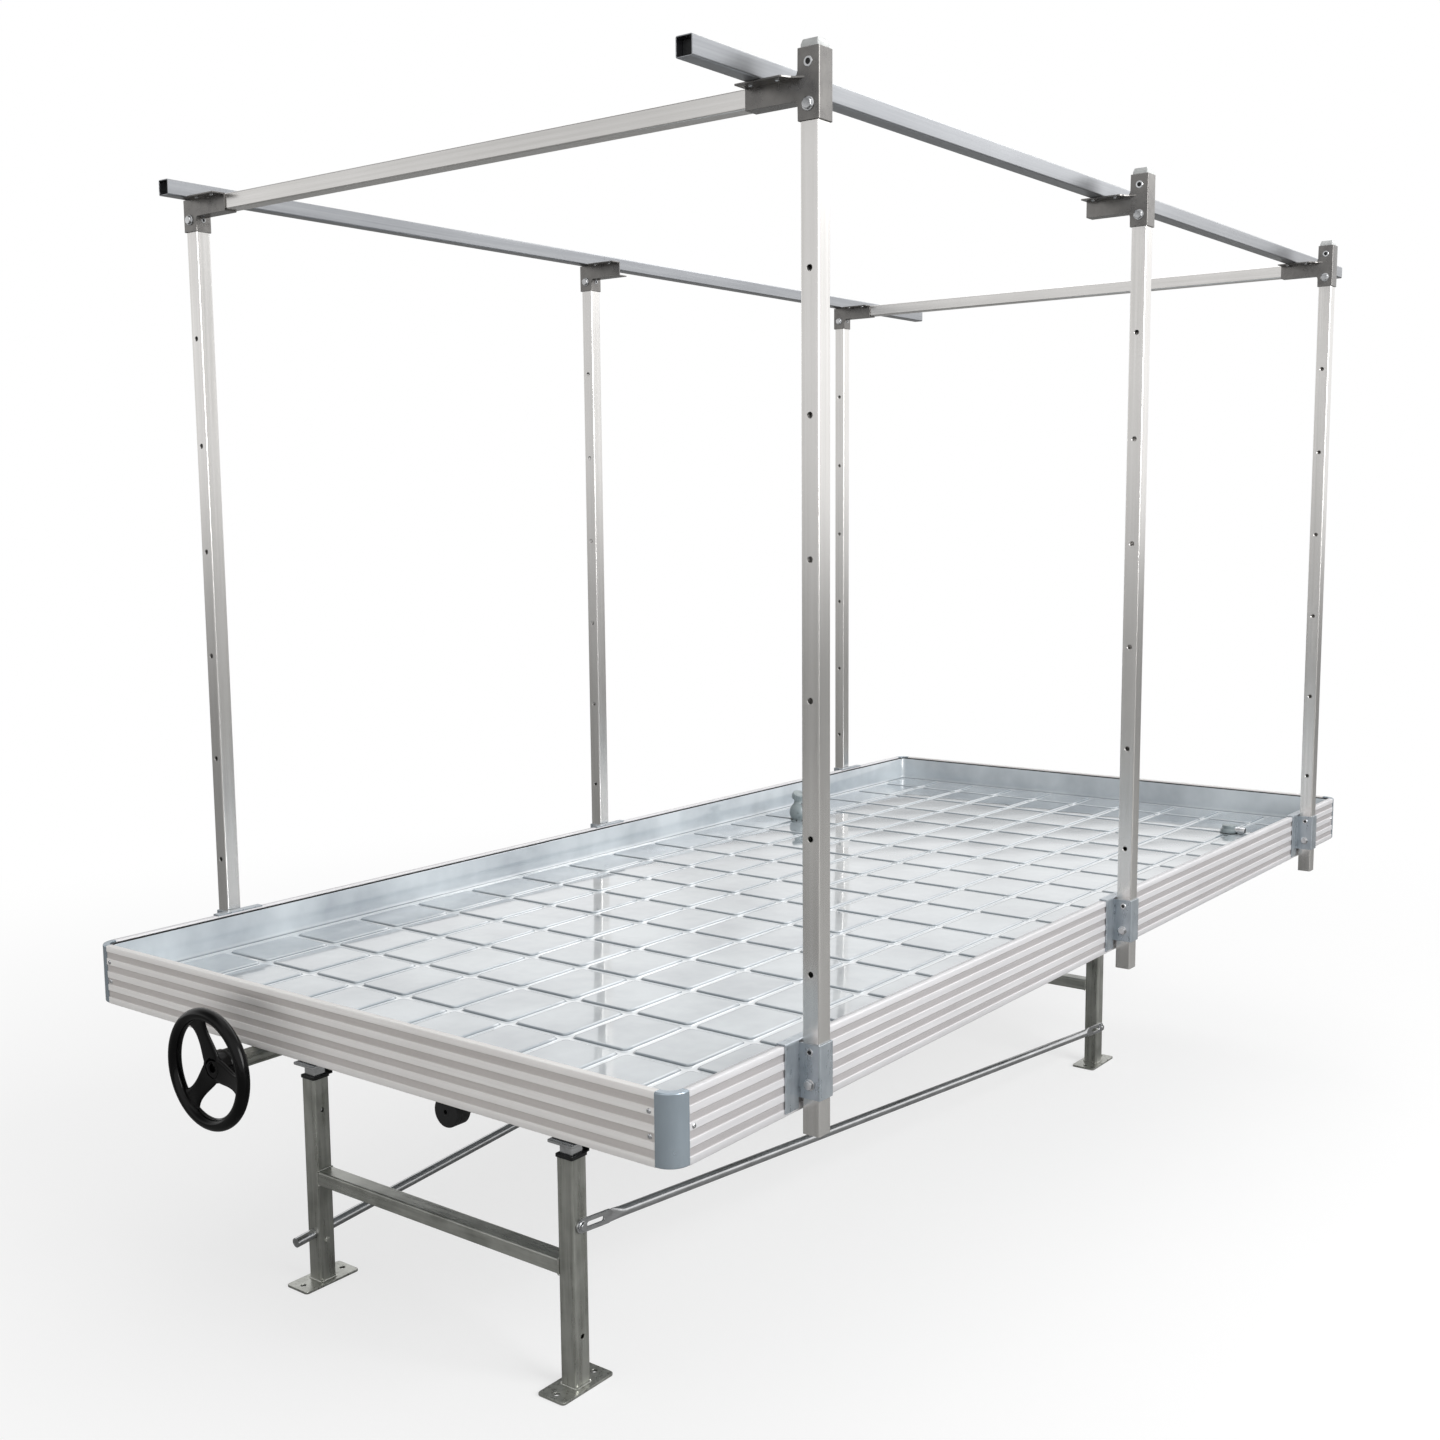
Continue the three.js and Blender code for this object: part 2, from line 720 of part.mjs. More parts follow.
// The flattened end of a brace, with a long slot, running along +x and narrowing into the round tube.
function braceEnd() {
  const bend = braceTabLength + braceSwage;
  const half = braceTabThickness / 2;
  const sheetLength = braceTabLength + braceTabWidth / 2;
  const sheetMiddle = (braceTabLength - braceTabWidth / 2) / 2;
  const slotMiddle = (braceTabWidth + braceSlotLength) / 2;
  const rounded = (length, width, middle) =>
    plate(length, width, width / 2 - joinGap, middle, 0, boltSteps);
  const sheet = sweep(rounded(sheetLength, braceTabWidth, sheetMiddle), -half, half, 'z');
  const slot = sweep(rounded(braceSlotLength, braceSlotWidth, slotMiddle), -braceRadius, braceRadius, 'z');
  const swage = new THREE.CylinderGeometry(braceRadius, braceRadius, braceSwage, smallSteps);
  swage.rotateZ(-Math.PI / 2).translate(bend - braceSwage / 2, 0, 0);
  const spots = swage.attributes.position;
  for (let index = 0; index < spots.count; index += 1) {
    if (spots.getX(index) < bend - braceSwage / 2) {
      spots.setY(index, spots.getY(index) * (braceTabWidth / 2 - joinGap) / braceRadius);
      spots.setZ(index, spots.getZ(index) * braceTabThickness / 2 / braceRadius);
    }
  }
  return { flat: cut(sheet, slot), swage: solid(swage), length: bend };
}

const tabFace = legSide / 2 + joinGap + braceTabThickness / 2;
const braceBolt = boltHead(braceTabThickness / 2, 1, 'z', [0, 0], braceBoltRadius, braceBoltHead);

// The right brace lies on the right sides of both right legs and has two flattened ends.
function rightBrace() {
  const from = new THREE.Vector3(legOffset + tabFace, frontStand, braceHigh);
  const to = new THREE.Vector3(legOffset + tabFace, rearStand, braceLow);
  const length = from.distanceTo(to);
  const near = braceEnd();
  const far = (body) => body.rotate([0, 0, 180]).translate([length, 0, 0]);
  const barStart = near.length - braceWall;
  const bar = rod(braceRadius, barStart, length - barStart, 'x', [0, 0], smallSteps);
  const whole = join(
    near.flat,
    near.swage,
    braceBolt,
    far(near.flat),
    far(near.swage),
    braceBolt.translate([length, 0, 0]),
    bar,
  );
  return aim(whole, from, to);
}

const leftBraceFrom = new THREE.Vector3(-legOffset, frontStand, braceLow);
const leftBraceTo = new THREE.Vector3(-legOffset + tabFace, rearStand, braceHigh);

// The left brace goes through the front left leg and is bolted to the side of the rear left leg.
function leftBrace() {
  const length = leftBraceFrom.distanceTo(leftBraceTo);
  const end = braceEnd();
  const far = (body) => body.rotate([0, 0, 180]).translate([length, 0, 0]);
  const start = -legSide / 2 - braceStub;
  const shaft = rod(braceRadius, start, length - end.length + braceWall, 'x', [0, 0], smallSteps);
  const bore = rod(braceRadius - braceWall, start - cutSpare, length - end.length, 'x', [0, 0], smallSteps);
  const bolt = braceBolt.translate([length, 0, 0]);
  const whole = join(cut(shaft, bore), far(end.flat), far(end.swage), bolt);
  return aim(whole, leftBraceFrom, leftBraceTo);
}

const braceOpening = () => {
  const round = rod(braceRadius + 2 * joinGap, -legSide, legSide, 'x', [0, 0], smallSteps);
  return aim(round, leftBraceFrom, leftBraceTo);
};

const pinHead = () => {
  const face = -legOffset + legSide / 2;
  const [inside, outside] = [face - legWall / 2, face + pinHeadThickness];
  return rod(pinHeadRadius, inside, outside, 'x', [frontStand, pinHeight], holeSteps);
};

// A post of the plant support frame, drilled from front to back at equal steps.
function post(side, along, top) {
  const across = side * postOffset;
  const section = [postSide, postSide];
  const upright = tube(section, postWall, postCorner, [across, along], [postBottom, top], 'z');
  const holes = Array.from({ length: postHoleCount }, (unused, index) =>
    rod(postHoleRadius, along - postSide, along + postSide, 'y',
      [across, topPostHole - index * postHolePitch], postHoleSteps));
  return cut(upright, ...holes);
}

// A pale cap with a chamfered top and a plug that goes into the post.
function postCap(along) {
  const bottom = rightPostTop + joinGap;
  const top = bottom + capRise;
  const plug = postSide - 2 * postWall - 2 * joinGap;
  const crown = new THREE.BoxGeometry(postSide, postSide, capRise - capStep);
  crown.translate(postOffset, along, (bottom + capStep + top) / 2);
  const spots = crown.attributes.position;
  for (let index = 0; index < spots.count; index += 1) {
    if (spots.getZ(index) > bottom + capStep + joinGap) {
      const share = capTopSide / postSide;
      spots.setX(index, postOffset + (spots.getX(index) - postOffset) * share);
      spots.setY(index, along + (spots.getY(index) - along) * share);
    }
  }
  return join(
    solid(crown),
    sweep(plate(postSide, postSide, 0, postOffset, along), bottom, bottom + capStep, 'z'),
    sweep(plate(plug, plug, 0, postOffset, along), bottom - capPlug, bottom + capStep / 2, 'z'),
  );
}

// A bent sheet bracket: two flanges on the profile, a socket round the post and a hook over the rim.
function lowerBracket(side, along) {
  const near = joinGap;
  const half = postSide / 2 + postSlack;
  const outside = postStandOff + postSide + postSlack;
  const bend = [
    [near, -flangeReach],
    [near + bracketWall, -flangeReach],
    [near + bracketWall, -half - bracketWall],
    [outside + bracketWall, -half - bracketWall],
    [outside + bracketWall, half + bracketWall],
    [near + bracketWall, half + bracketWall],
    [near + bracketWall, flangeReach],
    [near, flangeReach],
    [near, half],
    [outside, half],
    [outside, -half],
    [near, -half],
  ];
  const shape = outline(bend.map(([out, offset]) => [side * (benchHalf + out), along + offset]));
  const span = (a, b) => [side * (benchHalf + a), side * (benchHalf + b)].sort((p, q) => p - q);
  const hookBottom = rimHeight + joinGap;
  const flanges = [[-flangeReach, -half], [half, flangeReach]].map((ys) =>
    block(
      span(near, near + bracketWall),
      ys.map((y) => along + y),
      [flangeBottom, hookBottom + bracketWall],
    ));
  const hookYs = [along - flangeReach, along + flangeReach];
  const hook = block(span(-rimHookReach, near + bracketWall), hookYs, [hookBottom, hookBottom + bracketWall]);
  const across = side * postOffset;
  const face = along - half - bracketWall;
  const hole = rod(bracketHoleRadius, face - cutSpare, along, 'y', [across, lowerHoleHeight], holeSteps);
  const bolt = boltHead(face, -1, 'y', [across, lowerBoltHeight], bracketBoltRadius, bracketBoltHead);
  return join(cut(sweep(shape, socketBottom, socketTop, 'z'), hole), ...flanges, hook, bolt);
}

// A top bracket: sleeve on the post, arm with a floor for the crossbar, and a ledge under the rail.
function topBracket(side, along) {
  const across = side * postOffset;
  const tall = side > 0;
  const sleeveTop = tall ? rightPostTop : armTop;
  const outer = 2 * sleeveHalf;
  const inner = outer - 2 * sleeveWall;
  const sleeve = sweep(plate(outer, outer, postCorner, across, along), sleeveBottom, sleeveTop, 'z');
  const bore = sweep(plate(inner, inner, 0, across, along), sleeveBottom - cutSpare,
    tall ? sleeveTop + cutSpare : armTop - armSheet, 'z');
  const reachTo = (reach) => across - side * (sleeveHalf + reach);
  const inward = (a, b) => [reachTo(a), reachTo(b)].sort((p, q) => p - q);
  const front = along - sleeveHalf;
  const web = block(inward(-sleeveWall, armReach), [front, front + armSheet], [armBottom, armTop]);
  const floorDepths = [front, front + armFloorDepth];
  const floor = block(inward(-joinGap, armReach), floorDepths, [armBottom, armBottom + armSheet]);
  const ledgePlan = [
    [-sleeveHalf, front + armSheet],
    [-sleeveHalf / 2, front],
    [ledgeTaper / 2, front - ledgeDepth],
    [armReach, front - ledgeDepth],
    [armReach, front + armSheet],
  ].map(([reach, y]) => [reachTo(reach), y]);
  const ledge = sweep(outline(ledgePlan), armTop - armSheet, armTop, 'z');
  const boltUp = boltHead(front, -1, 'y', [across, topBoltHeight], bracketBoltRadius, bracketBoltHead);
  const body = join(cut(sleeve, bore), cut(join(web, floor, ledge), bore), boltUp);
  if (tall) {
    return cut(body, rod(bracketHoleRadius, front - cutSpare, along - inner / 2 + cutSpare, 'y',
      [across, topHoleHeight], holeSteps));
  }
  const face = across + sleeveHalf;
  return cut(body, rod(bracketHoleRadius, face - sleeveWall - cutSpare, face + cutSpare, 'x',
    [along, topBoltHeight], holeSteps));
}

function rail(across, start, end) {
  const middle = [across, armTop + joinGap + railSide / 2];
  return tube([railSide, railSide], railWall, railCorner, middle, [start, end], 'y');
}

function crossbar(along) {
  const end = postOffset - sleeveHalf - crossbarGap;
  const inset = armSheet + joinGap + railSide / 2;
  const middle = [along - sleeveHalf + inset, armBottom + inset];
  return tube([railSide, railSide], railWall, railCorner, middle, [-end, end], 'x');
}

place('left_profile', sideProfile(-1), ribbedAluminium);
place('right_profile', sideProfile(1), ribbedAluminium);
place('front_profile', endProfile(false), ribbedAluminium);
place('rear_profile', endProfile(true), ribbedAluminium);
place('front_left_corner', cornerPiece(-1, false), castGrey);
place('front_right_corner', cornerPiece(1, false), castGrey);
place('rear_left_corner', cornerPiece(-1, true), castGrey);
place('rear_right_corner', cornerPiece(1, true), castGrey);
place('growing_tray', tray(), traySheet);
trayFittings.forEach((fitting) => place(fitting.name, trayFitting(fitting), fittingGrey));

for (let index = 0; index < memberCount; index += 1) {
  const step = (benchLength - 2 * memberInset) / (memberCount - 1);
  place(`cross_member_${index + 1}`, crossMember(memberInset + index * step), galvanised);
}

place('left_roller_pipe', rollerPipe(-pipeOffset, leftPipeStart), galvanised);
place('right_roller_pipe', rollerPipe(pipeOffset, rightPipeStart), galvanised);
place('wheel_cup', pipeCup(-pipeOffset, leftCupStart), blackPlastic);
place('pipe_end_cup', pipeCup(pipeOffset, rightCupStart), blackPlastic);
place('handwheel', handwheel(), blackPlastic);

place('front_left_leg', leg(-1, frontStand, {
  holes: [upperLegHole],
  cuts: [braceOpening()],
  adds: [pinHead()],
}), galvanised);
place('front_right_leg', leg(1, frontStand, { holes: [lowerLegHole], cuts: [], adds: [] }), galvanised);
place('rear_left_leg', leg(-1, rearStand, { holes: [upperLegHole], cuts: [], adds: [] }), galvanised);
place('rear_right_leg', leg(1, rearStand, { holes: [upperLegHole], cuts: [], adds: [] }), galvanised);

for (const [row, along] of [['front', frontStand], ['rear', rearStand]]) {
  place(`${row}_stand_bar`, standBar(along), galvanised);
  place(`${row}_lift_frame`, liftFrame(along), galvanised);
  place(`${row}_left_bush`, legBush(-1, along), blackPlastic);
  place(`${row}_right_bush`, legBush(1, along), blackPlastic);
}
place('left_brace', leftBrace(), brightSteel);
place('right_brace', rightBrace(), brightSteel);

const leftPostTop = armTop - armSheet - joinGap;
for (const [row, along] of Object.entries(postRows)) {
  place(`${row}_left_post`, post(-1, along, leftPostTop), brightAluminium);
  place(`${row}_right_post`, post(1, along, rightPostTop), brightAluminium);
  place(`${row}_post_cap`, postCap(along), palePlastic);
  place(`${row}_left_socket`, lowerBracket(-1, along), zincSteel);
  place(`${row}_right_socket`, lowerBracket(1, along), zincSteel);
  place(`${row}_left_top_bracket`, topBracket(-1, along), darkSteel);
  place(`${row}_right_top_bracket`, topBracket(1, along), darkSteel);
}
place('front_crossbar', crossbar(postRows.front), brightAluminium);
place('rear_crossbar', crossbar(postRows.rear), brightAluminium);
place('left_rail_front', rail(-postOffset, leftRailStart, railJoint - joinGap / 2), brightAluminium);
place('left_rail_rear', rail(-postOffset, railJoint + joinGap / 2, rearEnd), brightAluminium);
const rightRailEnd = rightRailStart + railLength;
place('right_rail', rail(postOffset - railInset, rightRailStart, rightRailEnd), brightAluminium);

export default group;
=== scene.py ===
import json
import math

import bmesh
import bpy
import numpy as np
from mathutils import Matrix, Vector

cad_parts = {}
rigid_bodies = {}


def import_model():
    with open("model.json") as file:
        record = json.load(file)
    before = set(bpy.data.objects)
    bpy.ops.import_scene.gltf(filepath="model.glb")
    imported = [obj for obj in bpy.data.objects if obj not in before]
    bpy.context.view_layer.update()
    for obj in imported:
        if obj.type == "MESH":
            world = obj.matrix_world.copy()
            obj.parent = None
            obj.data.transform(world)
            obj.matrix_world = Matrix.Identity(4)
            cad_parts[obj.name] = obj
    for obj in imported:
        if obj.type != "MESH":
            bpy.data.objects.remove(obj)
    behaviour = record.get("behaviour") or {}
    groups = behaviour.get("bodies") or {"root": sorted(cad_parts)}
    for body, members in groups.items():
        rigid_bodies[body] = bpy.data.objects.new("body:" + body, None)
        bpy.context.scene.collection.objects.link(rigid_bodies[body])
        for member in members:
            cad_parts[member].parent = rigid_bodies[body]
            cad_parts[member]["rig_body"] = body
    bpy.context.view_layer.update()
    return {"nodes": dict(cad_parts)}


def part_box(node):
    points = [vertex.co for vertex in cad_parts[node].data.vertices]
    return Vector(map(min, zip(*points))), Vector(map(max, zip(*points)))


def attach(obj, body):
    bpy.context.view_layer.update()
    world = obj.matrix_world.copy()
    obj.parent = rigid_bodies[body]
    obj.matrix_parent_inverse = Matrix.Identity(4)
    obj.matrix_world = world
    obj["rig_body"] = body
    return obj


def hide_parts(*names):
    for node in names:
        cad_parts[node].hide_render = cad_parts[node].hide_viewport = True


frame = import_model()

mm = 0.001
fullTurn = 2 * math.pi
print("frame loaded:", len(frame["nodes"]), "nodes")


# Helpers for boxes, names, colours and nodes

def nodeBox(name):
    # low corner, high corner and middle of a CAD piece, in millimetres
    low, high = (np.array(corner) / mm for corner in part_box(name))
    return low, high, (low + high) / 2


def camelName(name):
    first, *rest = name.split("_")
    return first + "".join(word.capitalize() for word in rest)


def linearColour(hexText):
    srgb = np.array([int(hexText[at:at + 2], 16) for at in (1, 3, 5)]) / 255
    linear = np.where(srgb <= 0.04045, srgb / 12.92, ((srgb + 0.055) / 1.055) ** 2.4)
    return (*linear.tolist(), 1.0)


def fillNode(tree, node, settings):
    # a setting is a plain value, for a socket or for the node itself, or the output of another node
    for key, value in settings.items():
        if isinstance(value, bpy.types.NodeSocket):
            tree.links.new(value, node.inputs[key])
        elif isinstance(key, int) or key in node.inputs:
            node.inputs[key].default_value = value
        else:
            setattr(node, key, value)


def addNode(tree, kind, settings=None, output=0):
    # gives one output of the new node
    node = tree.nodes.new(kind)
    fillNode(tree, node, settings or {})
    return node.outputs[output]


def newMaterial(name):
    material = bpy.data.materials.new(name)
    material.use_nodes = True
    tree = material.node_tree
    return material, tree, tree.nodes["Principled BSDF"], addNode(tree, "ShaderNodeTexCoord", output="Object")


def noise(tree, place, scale, detail, **more):
    return addNode(tree, "ShaderNodeTexNoise", {"Vector": place, "Scale": scale, "Detail": detail, **more}, "Fac")


def rescaled(tree, value, start, end, low=0.0, high=1.0, kind="LINEAR"):
    # a value carried from one range to another and held inside it
    return addNode(tree, "ShaderNodeMapRange", {"interpolation_type": kind, "Value": value, "From Min": start,
                                                "From Max": end, "To Min": low, "To Max": high})


def colourMix(tree, share, first, second, blend="MIX"):
    # a colour is a hex text or comes from another node
    first, second = (linearColour(colour) if isinstance(colour, str) else colour for colour in (first, second))
    settings = {"data_type": "RGBA", "blend_type": blend, 0: share, 6: first, 7: second}
    return addNode(tree, "ShaderNodeMix", settings, 2)


def calculated(tree, operation, *values):
    return addNode(tree, "ShaderNodeMath", {"operation": operation, **dict(enumerate(values))})


def bump(tree, height, strength, distance, **more):
    return addNode(tree, "ShaderNodeBump", {"Height": height, "Strength": strength, "Distance": distance, **more})


# Materials

def streakedMetal(name, look):
    # two tones and two roughnesses follow one noise that is drawn out along the tube or rolled sheet,
    # a second wide noise clouds them, and the fine one also gives a very low bump
    material, tree, shader, place = newMaterial(name)
    drawn = addNode(tree, "ShaderNodeMapping", {"Vector": place, "Scale": look["streaks"]})
    streaks = noise(tree, drawn, 1.0, 5.0, Roughness=0.6)
    clouds = noise(tree, place, look["clouds"], 3.0)
    both = calculated(tree, "MULTIPLY_ADD", clouds, look.get("cloudShare", 0.5), streaks)
    tone = colourMix(tree, rescaled(tree, both, 0.45, 1.05), *look["colours"])
    shine = rescaled(tree, streaks, 0.0, 1.0, *look["roughness"])
    relief = bump(tree, streaks, look["bump"], 0.0003)
    if "recess" in look:
        # the sunk bands of the edge profile carry fine lines along them as a bump, and their colour is darkened as
        # painted shade of the recess
        sunk = addNode(tree, "ShaderNodeAttribute", {"attribute_name": "recess"}, "Fac")
        lines = addNode(tree, "ShaderNodeTexWave", {"Vector": place, "Scale": look["lineScale"],
                                                    "bands_direction": "Z", "Distortion": 0.0}, "Fac")
        tone = colourMix(tree, sunk, tone, look["recess"], "MULTIPLY")
        relief = bump(tree, calculated(tree, "MULTIPLY", sunk, lines), 0.35, 0.0004, Normal=relief)
    fillNode(tree, shader, {"Base Color": tone, "Roughness": shine, "Normal": relief,
                            "Metallic": look.get("metallic", 1.0)})
    return material


def drawnMetal(name, axes, fine, slow, look, **changes):
    # one material for each direction that a tube runs in: slow changes along it, fine ones across it
    made = {}
    for axis in axes:
        streaks = [slow if other == axis else fine for other in "xyz"]
        made[axis] = streakedMetal(f"{name} along {axis}", {**look, "streaks": streaks, **changes.get(axis, {})})
    return made


def plastic(name, look):
    # a wide noise gives uneven tone and gloss, a fine one the slight unevenness of the moulded skin
    material, tree, shader, place = newMaterial(name)
    wide = noise(tree, place, look["clouds"], 4.0)
    tone = colourMix(tree, rescaled(tree, wide, 0.3, 0.7), *look["colours"])
    shine = rescaled(tree, wide, 0.3, 0.7, *look["roughness"])
    relief = bump(tree, noise(tree, place, look["grain"], 2.0), look["bump"], 0.0004)
    height = addNode(tree, "ShaderNodeSeparateXYZ", {0: place}, 2)
    for colour, reached, begun in look.get("levels", ()):
        # downward from one height to another the tone goes over into the level's colour; these levels paint light
        # and shade by height
        tone = colourMix(tree, rescaled(tree, height, begun, reached), tone, colour)
    fillNode(tree, shader, {"Base Color": tone, "Roughness": shine, "Normal": relief, "IOR": look["ior"],
                            "Coat Weight": look.get("coat", 0.0)})
    return material


# Mill finish of extruded aluminium: satin, with long faint die lines along the tube. The real ones lie
# under 1 mm apart and are drawn every 6 mm, so that they show. The rails along y are painted greyer as
# painted shade, and are duller.
dieLine = 1 / 0.006
tubeAluminium = drawnMetal("extruded aluminium", "xyz", dieLine, 1.5, {
    "colours": ("#dcdad7", "#edebe9"), "roughness": (0.2, 0.27), "clouds": 5.0, "bump": 0.02,
}, y={"colours": ("#909296", "#a8aaad"), "roughness": (0.28, 0.36)})

# Edge profile: the same extrusion with a ribbed face, its sunk bands fluted about every 1 mm and painted darker as
# painted shade.
# The end profiles face the light less, so they are painted paler as painted light, and are less metallic.
ribbedAluminium = drawnMetal("ribbed aluminium", "xy", 160.0, 2.0, {
    "colours": ("#d2d1d3", "#e3e2e4"), "roughness": (0.34, 0.46), "clouds": 7.0, "bump": 0.12,
    "recess": "#d6d3d2", "lineScale": 300.0, "metallic": 0.25,
}, x={"colours": ("#e2dfdd", "#f0eeec"), "metallic": 0.12})

# Galvanised stand tube: dull olive grey with cloudy zinc and darker runs down the tube.
# The tubes along x are painted lighter as painted light.
galvanised = drawnMetal("galvanised steel", "xyz", 90.0, 5.0, {
    "colours": ("#6c6d66", "#b9bab4"), "roughness": (0.2, 0.38), "clouds": 16.0, "bump": 0.2, "cloudShare": 0.8,
    "metallic": 0.8,
}, x={"colours": ("#7c7d77", "#c2c3bd")})

# Die-cast corner with a smooth grey satin coat: even tone, soft broad highlight.
cornerCoat = streakedMetal("satin coated die casting", {
    "colours": ("#98a3ac", "#aab6bf"), "roughness": (0.22, 0.3), "clouds": 12.0, "streaks": (14.0, 14.0, 4.0),
    "bump": 0.04, "metallic": 0.65})

# Blue zinc plate on pressed sheet: cool grey with wide clouds and a fine rolled grain.
zincPlate = streakedMetal("blue zinc plated sheet", {
    "colours": ("#949da5", "#b5bcc2"), "roughness": (0.22, 0.36), "clouds": 30.0, "streaks": (60.0, 60.0, 18.0),
    "bump": 0.12, "cloudShare": 0.8, "metallic": 0.7})

# Dark grey coated bracket steel: satin, hardly any grain.
bracketSteel = streakedMetal("dark grey bracket steel", {
    "colours": ("#706e6d", "#8b8986"), "roughness": (0.22, 0.34), "clouds": 26.0, "streaks": (40.0, 40.0, 40.0),
    "bump": 0.1, "metallic": 0.9})

# Bright zinc on the inner legs, braces and bolts: sharper reflections, slight lengthwise polish marks.
brightZinc = streakedMetal("bright zinc plated steel", {
    "colours": ("#b2b3b4", "#dcdddf"), "roughness": (0.13, 0.24), "clouds": 22.0, "streaks": (90.0, 20.0, 90.0),
    "bump": 0.15})

# Formed polystyrene tray: pale grey, very glossy, faintly wavy from the forming, with cloudy water marks.
# The foot of each pad is edged by a dark line of painted shade, and the channel floor between them is painted pale
# as a painted reflection.
# The levels are a colour, the height in metres where it is full and the height where it begins.
traySheet = plastic("glossy formed tray sheet", {
    "colours": ("#a0a8af", "#c5cdd2"), "roughness": (0.04, 0.18), "clouds": 6.0, "grain": 11.0, "bump": 1.0,
    "ior": 1.65, "coat": 1.0, "levels": (("#6b757c", 0.6165, 0.6192), ("#e3e9ed", 0.6156, 0.6163))})

# Glossy moulded nylon of the handwheel, deep black with slight orange peel.
glossBlack = plastic("glossy black moulding", {
    "colours": ("#020202", "#060607"), "roughness": (0.12, 0.2), "clouds": 18.0, "grain": 420.0, "bump": 0.05,
    "ior": 1.28})

# Matt black moulding of bushes and cups with a fine spark-eroded grain of about 1 mm.
# It also makes the painted shade pieces: the strip at the tray's edge, the blocks inside open tube ends
# and the discs in bores.
mattBlack = plastic("matt black moulding", {
    "colours": ("#0a0a0b", "#161718"), "roughness": (0.4, 0.58), "clouds": 25.0, "grain": 1000.0, "bump": 0.2,
    "ior": 1.45})

# Pale moulded caps, slightly glossy.
paleCap = plastic("pale moulded cap", {
    "colours": ("#bfc1c0", "#d2d4d3"), "roughness": (0.3, 0.42), "clouds": 40.0, "grain": 700.0, "bump": 0.06,
    "ior": 1.5})

# Grey moulded tray fittings.
fittingGrey = plastic("grey moulded fitting", {
    "colours": ("#7b8588", "#99a3a5"), "roughness": (0.26, 0.4), "clouds": 45.0, "grain": 800.0, "bump": 0.08,
    "ior": 1.5})
print("materials made")


# Shells: points in millimetres and sets of faces

def gridFaces(rows, columns, wrapRows, wrapColumns):
    # every cell of the grid is one four-sided face; a wrapped direction joins its end to its start
    i, j = np.meshgrid(np.arange(rows - (not wrapRows)), np.arange(columns - (not wrapColumns)), indexing="ij")
    down, right = (i + 1) % rows, (j + 1) % columns
    corners = [i * columns + j, i * columns + right, down * columns + right, down * columns + j]
    return np.stack(corners, -1).reshape(-1, 4)


def gridShell(grid, wrapRows=False):
    # rings of points, each closed; open ends are closed by one flat face
    rows, columns = grid.shape[:2]
    faces = [gridFaces(rows, columns, wrapRows, True)]
    if not wrapRows:
        ring = np.arange(columns)
        faces += [ring[None, ::-1], ring[None] + (rows - 1) * columns]
    return grid.reshape(-1, 3), faces


def turnTo(points, axis):
    # the last column runs along the axis, the first two keep the order x, y, z of the other axes
    return points[..., {"x": [2, 0, 1], "y": [0, 2, 1], "z": [0, 1, 2]}[axis]]


def others(axis):
    return [at for at in range(3) if "xyz"[at] != axis]


def circle(steps):
    # even angles once round
    return np.arange(steps) / steps * fullTurn


def atHeight(outline, height):
    return np.column_stack([outline, np.full(len(outline), height)])


def roundedRectangle(width, height, radius, steps=5):
    # four quarter arcs joined by straight sides
    angle = (np.arange(4)[:, None] + np.linspace(0, 1, steps)) * math.pi / 2
    sign = np.array([[1, 1], [-1, 1], [-1, -1], [1, -1]])
    across = sign[:, :1] * (width / 2 - radius) + radius * np.cos(angle)
    up = sign[:, 1:] * (height / 2 - radius) + radius * np.sin(angle)
    return np.stack([across, up], -1).reshape(-1, 2)


def ringsAlong(size, radius, middle, stations, axis, steps=5):
    # a rounded rectangle at each station, drawn in by the station's inset
    rings = []
    for along, inset in stations:
        outline = roundedRectangle(size[0] - 2 * inset, size[1] - 2 * inset, max(radius - inset, 0.2), steps)
        rings.append(turnTo(atHeight(outline + middle, along), axis))
    return np.stack(rings)


def squareTube(size, radius, wall, middle, ends, axis, steps=5):
    # outside from end to end, over the eased cut end, and back along the inside
    (low, high), ease = ends, 0.5
    stations = [(low, ease), (low + ease, 0), (high - ease, 0), (high, ease),
                (high, wall - ease / 2), (high - ease, wall), (low + ease, wall), (low, wall - ease / 2)]
    return gridShell(ringsAlong(size, radius, middle, stations, axis, steps), True)


def roundedBlock(low, high, radius, axis="z"):
    # a solid block whose long edges have the radius and whose end edges are eased
    low, high, ease = np.array(low, float), np.array(high, float), 0.6
    cross, along = others(axis), "xyz".index(axis)
    stations = [(low[along], ease), (low[along] + ease, 0), (high[along] - ease, 0), (high[along], ease)]
    return gridShell(ringsAlong((high - low)[cross], radius, (low + high)[cross] / 2, stations, axis))


def turned(profile, middle, axis, steps=32, flats=0.0, hollow=False):
    # every profile point, a radius and a place along the axis, is a ring; flats cut the rings to a hexagon
    angle = circle(steps)
    radius, along = np.array(profile, float).T
    rings = np.repeat(radius[:, None], steps, 1)
    if flats:
        rings = np.minimum(rings, flats / np.cos((angle + math.pi / 6) % (math.pi / 3) - math.pi / 6))
    grid = np.stack([middle[0] + rings * np.cos(angle), middle[1] + rings * np.sin(angle),
                     np.repeat(along[:, None], steps, 1)], -1)
    return gridShell(turnTo(grid, axis), hollow)


